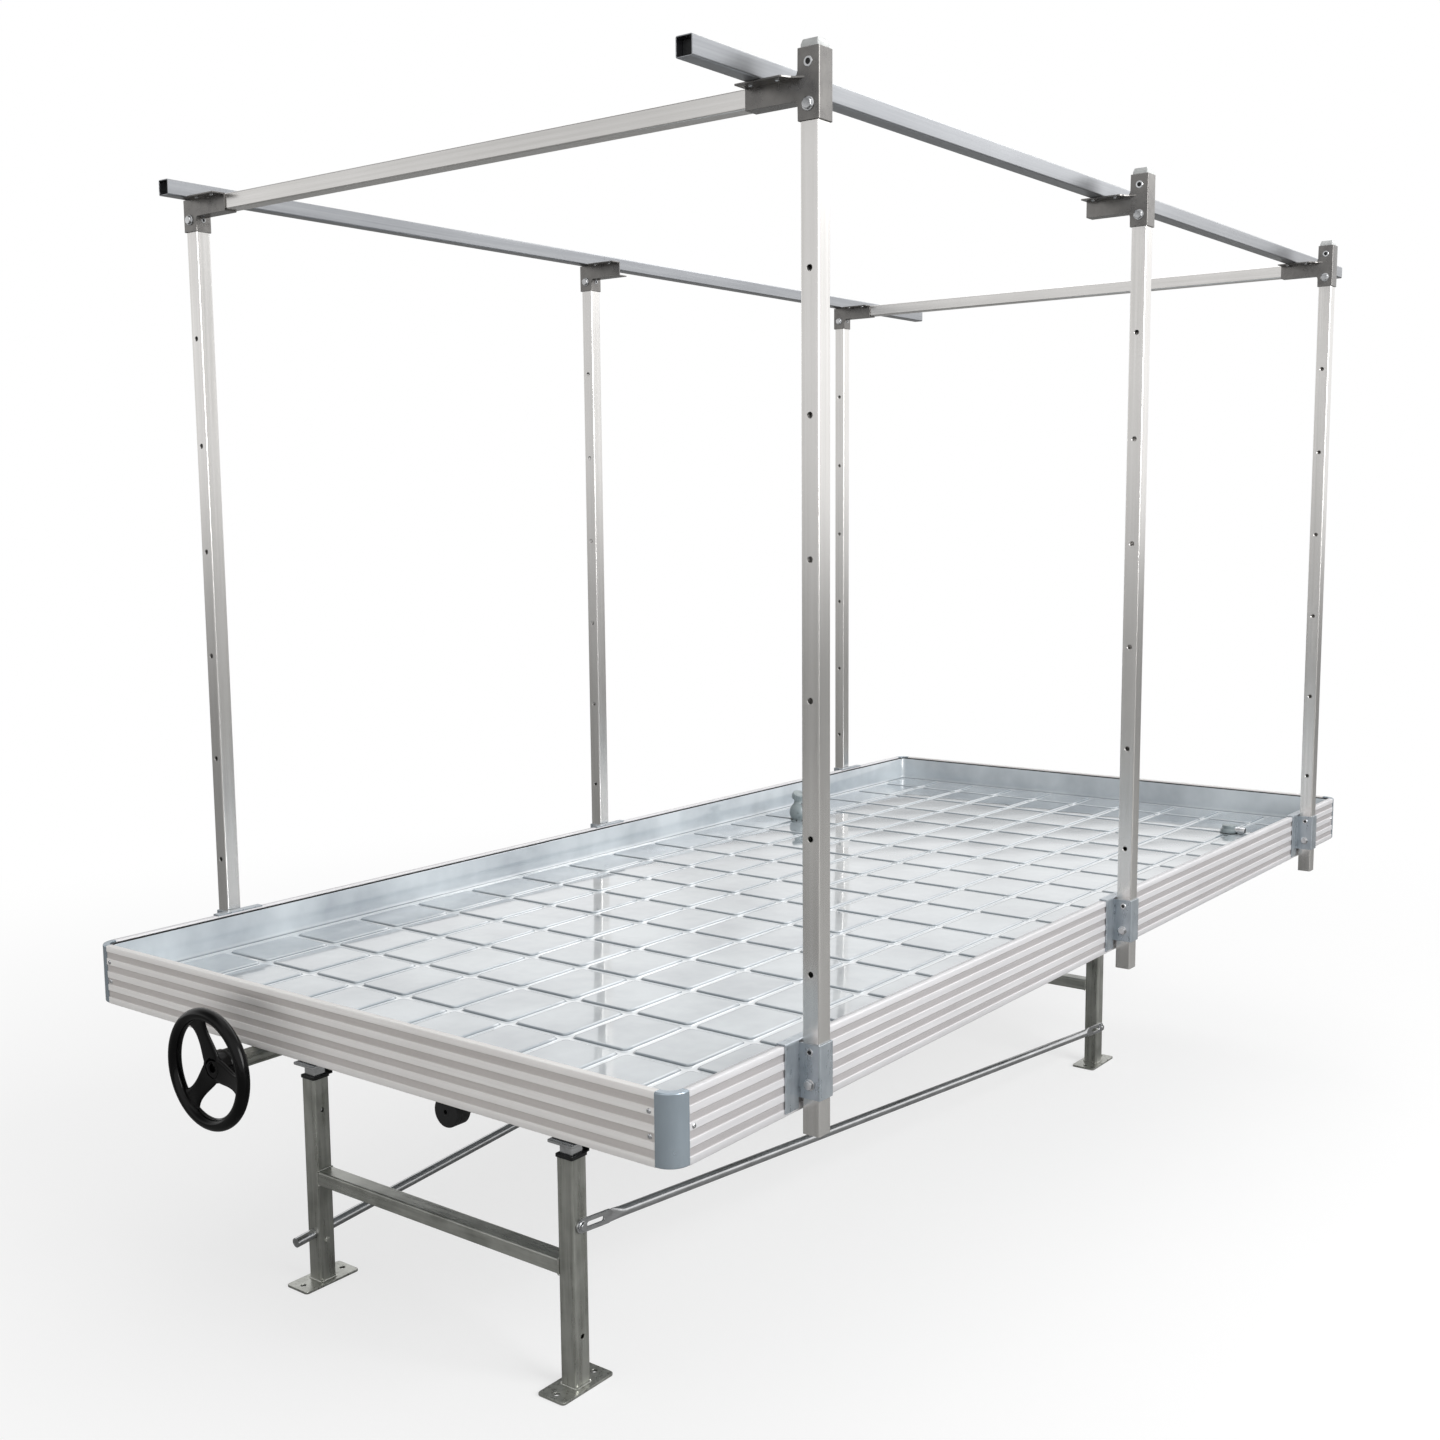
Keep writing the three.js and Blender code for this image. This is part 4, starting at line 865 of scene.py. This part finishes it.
def stadium(ends, width, wider):
    # two half circles joined by straight sides, seen from the middle at even angles
    turn, radius = circle(48), width / 2 + wider
    shift = (ends[1] - ends[0]) / 2 + wider - radius
    x = np.cos(turn) * radius + np.sign(np.round(np.cos(turn), 9)) * shift
    return np.column_stack([sum(ends) / 2 + x, np.sin(turn) * radius])


def braceTab():
    # a ring between the outer edge and the slot, with eased edges
    tab, slot, half = brace["tab"], brace["slot"], brace["tabThick"] / 2
    layers = [(tab, -0.5, half), (tab, 0, half - 0.6), (tab, 0, 0.6 - half), (tab, -0.5, -half),
              (slot, 0.5, -half), (slot, 0, 0.6 - half), (slot, 0, half - 0.6), (slot, 0.5, half)]
    return gridShell(np.stack([atHeight(stadium(*shape, wider), up) for shape, wider, up in layers]), True)


def braceShaft(start, end, flatStart):
    # a round tube whose ends are pressed flat: the section changes smoothly from a circle to a thin bar
    length, turn = brace["swage"], circle(32)
    first = np.linspace(start, start + length, 9) if flatStart else [start]
    stations = np.array([*first, *np.linspace(end - length, end, 9)])
    flat = np.clip(1 - (end - stations) / length, 0, 1)
    if flatStart:
        flat = np.maximum(flat, np.clip(1 - (stations - start) / length, 0, 1))
    flat = (flat * flat * (3 - 2 * flat))[:, None]
    pressed = np.sign(np.cos(turn)) * np.abs(np.cos(turn)) ** 0.5 * brace["flatWidth"]
    wide = np.cos(turn) * brace["radius"] * (1 - flat) + pressed * flat
    thin = np.sin(turn) * (brace["radius"] * (1 - flat) + brace["flatThick"] * flat)
    return gridShell(np.stack([np.repeat(stations[:, None], 32, 1), wide, thin], -1))


def boltedEnd(place, turnBack):
    # a slotted tab and the bolt that holds it
    tab, faces = braceTab()
    tab[:, 0] = place + (-tab[:, 0] if turnBack else tab[:, 0])
    bolt = hexBolt(((place, 0.0), brace["tabThick"] / 2, 1, "z"), *brace["bolt"])
    return [(tab, faces), *bolt]


def layBrace(name, start, end, shells):
    ahead = (end - start) / np.linalg.norm(end - start)
    up = np.cross([1.0, 0, 0], ahead)
    up /= np.linalg.norm(up)
    turn = np.stack([ahead, up, np.cross(ahead, up)])
    standIn("Bar", [(points @ turn + start, faces) for points, faces in shells], brightZinc, name, "bright_steel")


frontAlong, rearAlong = (nodeBox(f"{row}_stand_bar")[2][1] for row in ("front", "rear"))
legFace = stand["leg"] / 2
tabPlane = legFace + 0.3 + brace["tabThick"] / 2

# the right brace is bolted on at both ends
start = np.array([stand["across"] + tabPlane, frontAlong, brace["high"]])
end = np.array([stand["across"] + tabPlane, rearAlong, brace["low"]])
length = np.linalg.norm(end - start)
shaft = braceShaft(brace["shaftStart"], length - brace["shaftStart"], True)
layBrace("right_brace", start, end, [shaft, *boltedEnd(0, False), *boltedEnd(length, True)])

# the left one goes through the front leg, where a low ring stands for the tube's wall at its mouth
start = np.array([-stand["across"], frontAlong, brace["low"]])
end = np.array([-stand["across"] + tabPlane, rearAlong, brace["high"]])
length = np.linalg.norm(end - start)
stub = -legFace - brace["stub"]
outer, inner = brace["radius"] + 0.02, brace["radius"] - 2
mouth = turned([(outer, stub - 0.3), (inner, stub - 0.3), (inner, stub + 0.4), (outer, stub + 0.4)], (0, 0), "x",
               hollow=True)
shaft = braceShaft(stub, length - brace["shaftStart"], False)
layBrace("left_brace", start, end, [shaft, mouth, *boltedEnd(length, True)])
print("stands made")


# Plant frame: posts, caps, sockets, brackets, rails

post = {"side": 34.0, "wall": 2.0, "corner": 3.0, "topHole": 1930.0, "pitch": 225.0, "holes": 6, "hole": 5.0,
        "cell": 9.0, "clear": 20.0, "ring": 16, "steps": 5}


def bandFaces(first, second, count):
    # four-sided faces between two closed rings, each given by the number of its first point
    turn = np.arange(count)
    on = (turn + 1) % count
    return np.column_stack([first + turn, first + on, second + on, second + turn])


def drilledPost(middle, ends):
    # two layers of a rounded square, outer and inner, whose front and back faces open round every hole:
    # there the face is a fan of triangles from the cell's corners to a ring, and bands join the layers
    holes = post["topHole"] - post["pitch"] * np.arange(post["holes"])
    holes = np.sort(holes[(holes > ends[0] + post["clear"]) & (holes < ends[1] - post["clear"])])
    levels = np.sort(np.concatenate([ends, holes - post["cell"], holes + post["cell"]]))
    rows, columns, count, size = len(levels), 4 * post["steps"], post["ring"], post["hole"]
    angle, quarter = circle(count), count // 4
    # a cell's corners in the order of their angle about the hole, on the back and on the front face
    cells = ((1, post["steps"] - 1, [columns, columns + 1, 1, 0]),
             (-1, 3 * post["steps"] - 1, [columns + 1, columns, 0, 1]))
    # the inset of each layer, and a radius and a depth for each of its rings
    layers = ((0.0, [(size + 0.6, 0.0), (size, 0.6)]), (post["wall"], [(size, 0.0)]))
    points, faces, bases, rings, start = [], [], [], {}, 0
    for inset, mouth in layers:
        side = post["side"] - 2 * inset
        outline = roundedRectangle(side, side, post["corner"] - inset, post["steps"]) + middle
        points += [atHeight(outline, level) for level in levels]
        bases.append(start)
        start += rows * columns
        opened = []
        for number, hole in enumerate(holes):
            for face, column, order in cells:
                opened.append((1 + 2 * number) * columns + column)
                corners = bases[-1] + opened[-1] + np.array(order)
                for radius, deep in mouth:
                    points.append(np.column_stack([
                        middle[0] + radius * np.cos(angle), np.full(count, middle[1] + face * (side / 2 - deep)),
                        hole + radius * np.sin(angle)]))
                first = start
                rings.setdefault((number, face), []).extend(first + count * np.arange(len(mouth)))
                start += count * len(mouth)
                for at, corner in enumerate(corners):
                    ring = first + (np.arange(quarter + 1) + quarter * at) % count
                    faces += [np.column_stack([np.full(quarter, corner), ring[:-1], ring[1:]]),
                              np.array([[corner, ring[-1], corners[(at + 1) % 4]]])]
        faces.append(bases[-1] + np.delete(gridFaces(rows, columns, False, True), opened, 0))
    for outer, sunk, inner in rings.values():
        faces += [bandFaces(outer, sunk, count), bandFaces(sunk, inner, count)]
    for level in (0, (rows - 1) * columns):
        faces.append(bandFaces(bases[0] + level, bases[1] + level, columns))
    return np.concatenate(points), faces


bracket = {"slack": 0.3, "sleeve": 2.5, "thick": 3.0, "armHeight": 36.0, "arm": 100.0, "fillet": 9.0, "ledge": 30.0,
           "bolt": (16.0, 6.0, 11.0), "boltDrop": 42.0, "boreRise": 20.0, "underBolts": (28.0, 78.0)}
armTop = nodeBox("front_left_top_bracket")[1][2]
armFoot = armTop - bracket["armHeight"]


def topBracket(name, middle, side):
    # sleeve round the post, a front plate with rounded inner corners, and an arm with floor and ledge;
    # everything of the arm is placed by its reach sideways from the sleeve
    low, high = (corner[2] for corner in nodeBox(name)[:2])
    half = post["side"] / 2 + bracket["slack"] + bracket["sleeve"]
    front, thick, arm, fillet = middle[1] - half, bracket["thick"], bracket["arm"], bracket["fillet"]
    root = middle[0] - side * half
    shells = [squareTube((2 * half, 2 * half - 0.6), 3.0, bracket["sleeve"], middle + (0, 0.3), (low, high), "z")]
    if high < armTop + 1:
        # a low sleeve is closed at the top
        shells.append(roundedBlock((middle[0] - half + 0.3, front + 0.9, high - 2.6),
                                   (*(middle + half - 0.3), high), 2.0))
    curve = fillet * np.linspace(0, 1, 6)
    rounding = fillet - np.sqrt(fillet ** 2 - (fillet - curve) ** 2)
    out = np.concatenate([[-2 * half + 0.4, -0.4], curve, [arm]])
    plate = np.column_stack([root - side * out, np.full(len(out), front + thick / 2)])
    topEdge = np.concatenate([[high, high], np.minimum(armTop + rounding, high), [armTop]])
    lowEdge = np.concatenate([[low, low], armFoot - rounding, [armFoot]])
    floorEnds = sorted((root - side * 0.5, root - side * arm))
    floor = [(front + bracket["ledge"], armFoot + thick / 2), (front + 2.0, armFoot + thick / 2)]
    # the ledge sticks out in front and narrows where it leaves the sleeve
    deep = np.array([0.0, 4.0, 9.0, 14.0, 19.0, 24.0, 28.0, bracket["ledge"]])
    taper = root - side * np.array([-16.0, -9.0, -1.0, 4.0, 7.0, 9.0, 11.5, 14.0])
    tip = np.full(len(deep), root - side * arm)
    ledge = np.column_stack([front + 2.0 - deep, np.full(len(deep), armTop - thick / 2)])
    shells += [
        bentSheet(plate, thick, lowEdge, topEdge, "z", bend=0.01, steps=2),
        bentSheet(floor, thick, *floorEnds, "x"),
        bentSheet(ledge, thick, *((tip, taper) if side > 0 else (taper, tip)), "x", bend=0.01, steps=2),
    ]
    standIn("Pressing", shells, bracketSteel, name, "dark_steel")
    boltSeat = ((middle[0], armTop - bracket["boltDrop"]), front - 0.1, -1, "y")
    if side > 0:
        boreSeat, radius, flange = ((middle[0], armTop + bracket["boreRise"]), front - 0.1, -1, "y"), 4.6, 8.0
    else:
        boreSeat = ((middle[1], armTop - bracket["boltDrop"]), middle[0] + half + 0.1, 1, "x")
        radius, flange = 3.0, 5.2
    fasteners = [*hexBolt(boltSeat, *bracket["bolt"]), rivetNut(boreSeat, radius, flange)]
    for along in bracket["underBolts"]:
        seat = ((root - side * along, front - 14.0), armTop - thick, -1, "z")
        fasteners.append(standing([(4.4, 0), (4.4, 1.6), (3.4, 2.4), (1.8, 2.6)], seat, 16))
    extra("Fasteners", fasteners, brightZinc, name, "bright_steel")
    # the black disc paints the shade deep in the bore
    extra("Bore", [boreShadeDisc(boreSeat, radius)], mattBlack, name, "black_plastic")


# distances along the edge profile from the post's middle, heights below the rim
socket = {"thick": 3.0, "flange": 58.0, "flangeLow": 114.0, "low": 95.0, "high": 1.0, "flangeHigh": -0.3,
          "slack": 0.5, "reach": 7.0, "hook": 16.0, "bolt": (15.0, 6.5, 10.0), "boltDrop": 70.0, "boreDrop": 15.0,
          "bore": 3.8, "boreFlange": 7.0}


def lowerSocket(name, middle, side):
    # flanges flat on the edge profile, a bent socket round the post and a hook over the rim
    half, thick, flange = post["side"] / 2 + socket["slack"], socket["thick"], socket["flange"]
    wall, edge = half + thick / 2, benchHigh[0] * side
    near, far = 0.3 + thick / 2, socket["reach"] + post["side"] + socket["slack"] + thick / 2
    halfPlan = [(near, flange), (near, half + 4), (near, half + 3.9), (near, wall), (far, wall)]
    plan = np.array([(out, -along) for out, along in halfPlan] + halfPlan[::-1])
    line = plan * (side, 1) + (edge, middle[1])
    # the first and the last two places are on the flanges, which reach lower and higher
    onFlange = np.isin(np.arange(len(plan)), (0, 1, 8, 9))
    lows = rimTop - np.where(onFlange, socket["flangeLow"], socket["low"])
    highs = rimTop - np.where(onFlange, socket["flangeHigh"], socket["high"])
    over = rimTop + 0.3 + thick / 2
    hook = np.array([(near, rimTop + 0.4), (near, over), (-socket["hook"], over)]) * (side, 1) + (edge, 0)
    standIn("Pressing", [bentSheet(line, thick, lows, highs, "z", bend=2.6),
                         bentSheet(hook, thick, middle[1] - flange, middle[1] + flange, "y", bend=1.3)],
            zincPlate, name, "zinc_steel")
    boltSeat, boreSeat = (((middle[0], rimTop - drop), middle[1] - half - thick, -1, "y")
                          for drop in (socket["boltDrop"], socket["boreDrop"]))
    fasteners = [*hexBolt(boltSeat, *socket["bolt"]), rivetNut(boreSeat, socket["bore"], socket["boreFlange"])]
    extra("Fasteners", fasteners, brightZinc, name, "bright_steel")
    # the black disc paints the shade deep in the bore
    extra("Bore", [boreShadeDisc(boreSeat, socket["bore"])], mattBlack, name, "black_plastic")


# heights above the post's end and insets of the crown, and half the width of the plug
cap = {"crown": [(0, 0.4), (0.4, 0), (5.0, 0), (5.8, 0.3), (12.0, 3.0), (12.8, 3.6), (13.0, 4.6)], "plug": 14.6}
# inset, start and end of the black blocks that paint shade inside open tube ends
endShade = {"inset": 2.05, "start": 14.0, "end": 34.0}


def postCap(name):
    # a low crowned cap with a plug inside the post
    low, high, middle = nodeBox(name)
    middle, bottom = middle[:2], high[2] - cap["crown"][-1][0]
    stations = [(bottom + rise, inset) for rise, inset in cap["crown"]]
    crown = gridShell(ringsAlong((post["side"],) * 2, post["corner"], middle, stations, "z"))
    plug = roundedBlock((*(middle - cap["plug"]), low[2]), (*(middle + cap["plug"]), bottom + 1), 1.5)
    standIn("Moulding", [crown, plug], paleCap, name, "pale_plastic")


def frameTube(name, axis):
    # a tube with a matt black block a little way inside each open end, as painted shade of the tube's inside
    tubePiece(name, axis, post, tubeAluminium[axis], "bright_aluminium")
    low, high, middle = nodeBox(name)
    along = "xyz".index(axis)
    endShades = []
    for end, inward in ((low[along], 1), (high[along], -1)):
        start, stop = low + endShade["inset"], high - endShade["inset"]
        start[along], stop[along] = sorted((end + inward * endShade["start"], end + inward * endShade["end"]))
        endShades.append(roundedBlock(start, stop, 1.0, axis))
    extra("Bungs", endShades, mattBlack, name, "black_plastic")


for row in ("front", "middle", "rear"):
    for side, sign in (("left", -1), ("right", 1)):
        name = f"{row}_{side}_post"
        low, high, middle = nodeBox(name)
        standIn("Tube", [drilledPost(middle[:2], (low[2], high[2]))], tubeAluminium["z"], name, "bright_aluminium")
        topBracket(f"{row}_{side}_top_bracket", middle[:2], sign)
        lowerSocket(f"{row}_{side}_socket", middle[:2], sign)
    postCap(f"{row}_post_cap")
for name in ("front_crossbar", "rear_crossbar"):
    frameTube(name, "x")
for name in ("left_rail_front", "left_rail_rear", "right_rail"):
    frameTube(name, "y")
print("plant frame made")


# Floor, world, lights and camera

def mixedShader(tree, share, first, second):
    return addNode(tree, "ShaderNodeMixShader", {0: share, 1: first, 2: second})


def whiteLight(tree, kind, strength):
    return addNode(tree, kind, {"Color": linearColour("#ffffff"), "Strength": strength})


def stageFloor():
    # the camera sees a pale floor that runs out into white and keeps a third of the bench's shadow near by;
    # everything else sees and mirrors a grey floor that grows paler with distance
    material, tree, shader, place = newMaterial("pale studio floor")
    pale = colourMix(tree, noise(tree, place, 0.6, 2.0), "#f8f8f8", "#fdfdfd")
    seen = addNode(tree, "ShaderNodeLightPath", output="Is Camera Ray")
    reach = addNode(tree, "ShaderNodeVectorMath", {"operation": "LENGTH", 0: place}, "Value")
    mirrored = colourMix(tree, rescaled(tree, reach, 4.5, 22.0), "#a0a09f", "#e6e6e5")
    fillNode(tree, shader, {"Base Color": colourMix(tree, seen, mirrored, pale), "Roughness": 0.9,
                            "Specular IOR Level": 0.0})
    lift = calculated(tree, "MULTIPLY", rescaled(tree, reach, 1.2, 4.5, 0.68, 1.0, "SMOOTHSTEP"), seen)
    mixed = mixedShader(tree, lift, shader.outputs[0], whiteLight(tree, "ShaderNodeEmission", 1.0))
    tree.links.new(mixed, tree.nodes["Material Output"].inputs["Surface"])
    mesh = bpy.data.meshes.new("floor")
    mesh.from_pydata([(-60, -60, -0.001), (60, -60, -0.001), (60, 60, -0.001), (-60, 60, -0.001)], [], [range(4)])
    mesh.materials.append(material)
    joinScene("floor", mesh)


def studioWorld():
    # white where the camera looks; shiny parts mirror white panels with greyer gaps, as in a bright hall,
    # and an even grey lights everything else
    world = bpy.data.worlds.new("studio")
    bpy.context.scene.world = world
    world.use_nodes = True
    tree = world.node_tree
    tree.nodes.clear()
    where = addNode(tree, "ShaderNodeTexCoord", output="Generated")
    upright = addNode(tree, "ShaderNodeMapping", {"Vector": where, "Scale": (2.6, 2.6, 0.7),
                                                  "Location": (0.35, 1.1, 0.2)})
    shade = rescaled(tree, noise(tree, upright, 1.0, 4.0, Roughness=0.6), 0.38, 0.58, 0.72, 1.16, "SMOOTHSTEP")
    height = addNode(tree, "ShaderNodeSeparateXYZ", {0: where}, 2)
    # two dim places: the far end of the hall, low down, and the roof over the near left
    dim = (((-0.6, 0.8, 0.0), 0.62, 0.55, True), ((-0.6, -0.41, 0.69), 0.8, 0.7, False))
    for towards, start, depth, lowDown in dim:
        facing = addNode(tree, "ShaderNodeVectorMath", {"operation": "DOT_PRODUCT", 0: where, 1: towards}, "Value")
        share = rescaled(tree, facing, start, 1.0, 0.0, depth, "SMOOTHSTEP")
        if lowDown:
            share = calculated(tree, "MULTIPLY", share, rescaled(tree, height, 0.21, 0.175, kind="SMOOTHSTEP"))
        shade = calculated(tree, "MULTIPLY", shade, calculated(tree, "SUBTRACT", 1.0, share))
    soft, mirrored, seen = (whiteLight(tree, "ShaderNodeBackground", strength) for strength in (0.44, shade, 1.0))
    glossyRay, cameraRay = (addNode(tree, "ShaderNodeLightPath", output=f"Is {kind} Ray")
                            for kind in ("Glossy", "Camera"))
    light = mixedShader(tree, cameraRay, mixedShader(tree, glossyRay, soft, mirrored), seen)
    tree.links.new(light, tree.nodes.new("ShaderNodeOutputWorld").inputs["Surface"])


def softBox(name, place, target, size, power, mirrored):
    light = bpy.data.lights.new(name, "AREA")
    light.shape = "RECTANGLE"
    light.size, light.size_y = size
    light.energy = power
    box = joinScene(name, light)
    box.location = place
    box.visible_glossy = mirrored
    box.rotation_euler = (Vector(target) - Vector(place)).to_track_quat("-Z", "Y").to_euler()


def photoCamera():
    # solved from the rim corners, post holes and feet in the photograph; the focal length counts in its pixels
    shot = {"place": (2.2633, -3.44145, 1.5556), "azimuth": 37.44, "elevation": 7.18, "roll": -0.49,
            "focal": 1649.3, "frame": 1440, "sensor": 36.0}
    azimuth, elevation, roll = (math.radians(shot[key]) for key in ("azimuth", "elevation", "roll"))
    right = np.array([math.cos(azimuth), math.sin(azimuth), 0.0])
    back = np.array([math.sin(azimuth) * math.cos(elevation), -math.cos(azimuth) * math.cos(elevation),
                     math.sin(elevation)])
    up = np.cross(back, right)
    camera = joinScene("photo camera", bpy.data.cameras.new("photo camera"))
    camera.data.sensor_width = shot["sensor"]
    camera.data.lens = shot["sensor"] * shot["focal"] / shot["frame"]
    turn = np.eye(4)
    turn[:3] = np.column_stack([right * math.cos(roll) + up * math.sin(roll),
                                up * math.cos(roll) - right * math.sin(roll), back, shot["place"]])
    camera.matrix_world = Matrix(turn.tolist())
    bpy.context.scene.camera = camera


stageFloor()
studioWorld()
# place, target, size, power in watts, and whether shiny parts mirror it
softBox("key softbox", (6.6, -0.7, 3.6), (0, 0, 0.9), (4.0, 4.0), 412, True)
softBox("low front softbox", (-0.6, -6.2, 0.33), (0, 0, 0.5), (7.0, 0.5), 85, False)
softBox("top softbox", (-1.0, 1.0, 6.0), (0, 0, 0.6), (5.0, 6.0), 36, True)
softBox("rear strip softbox", (0.0, 5.5, 6.2), (0, 0.5, 0.6), (7.0, 1.6), 90, True)
softBox("side strip softbox", (2.6, 6.0, 4.2), (0, 0.5, 1.2), (5.0, 1.6), 30, True)
photoCamera()
bpy.context.scene.view_settings.view_transform = "Standard"
print("stage made")
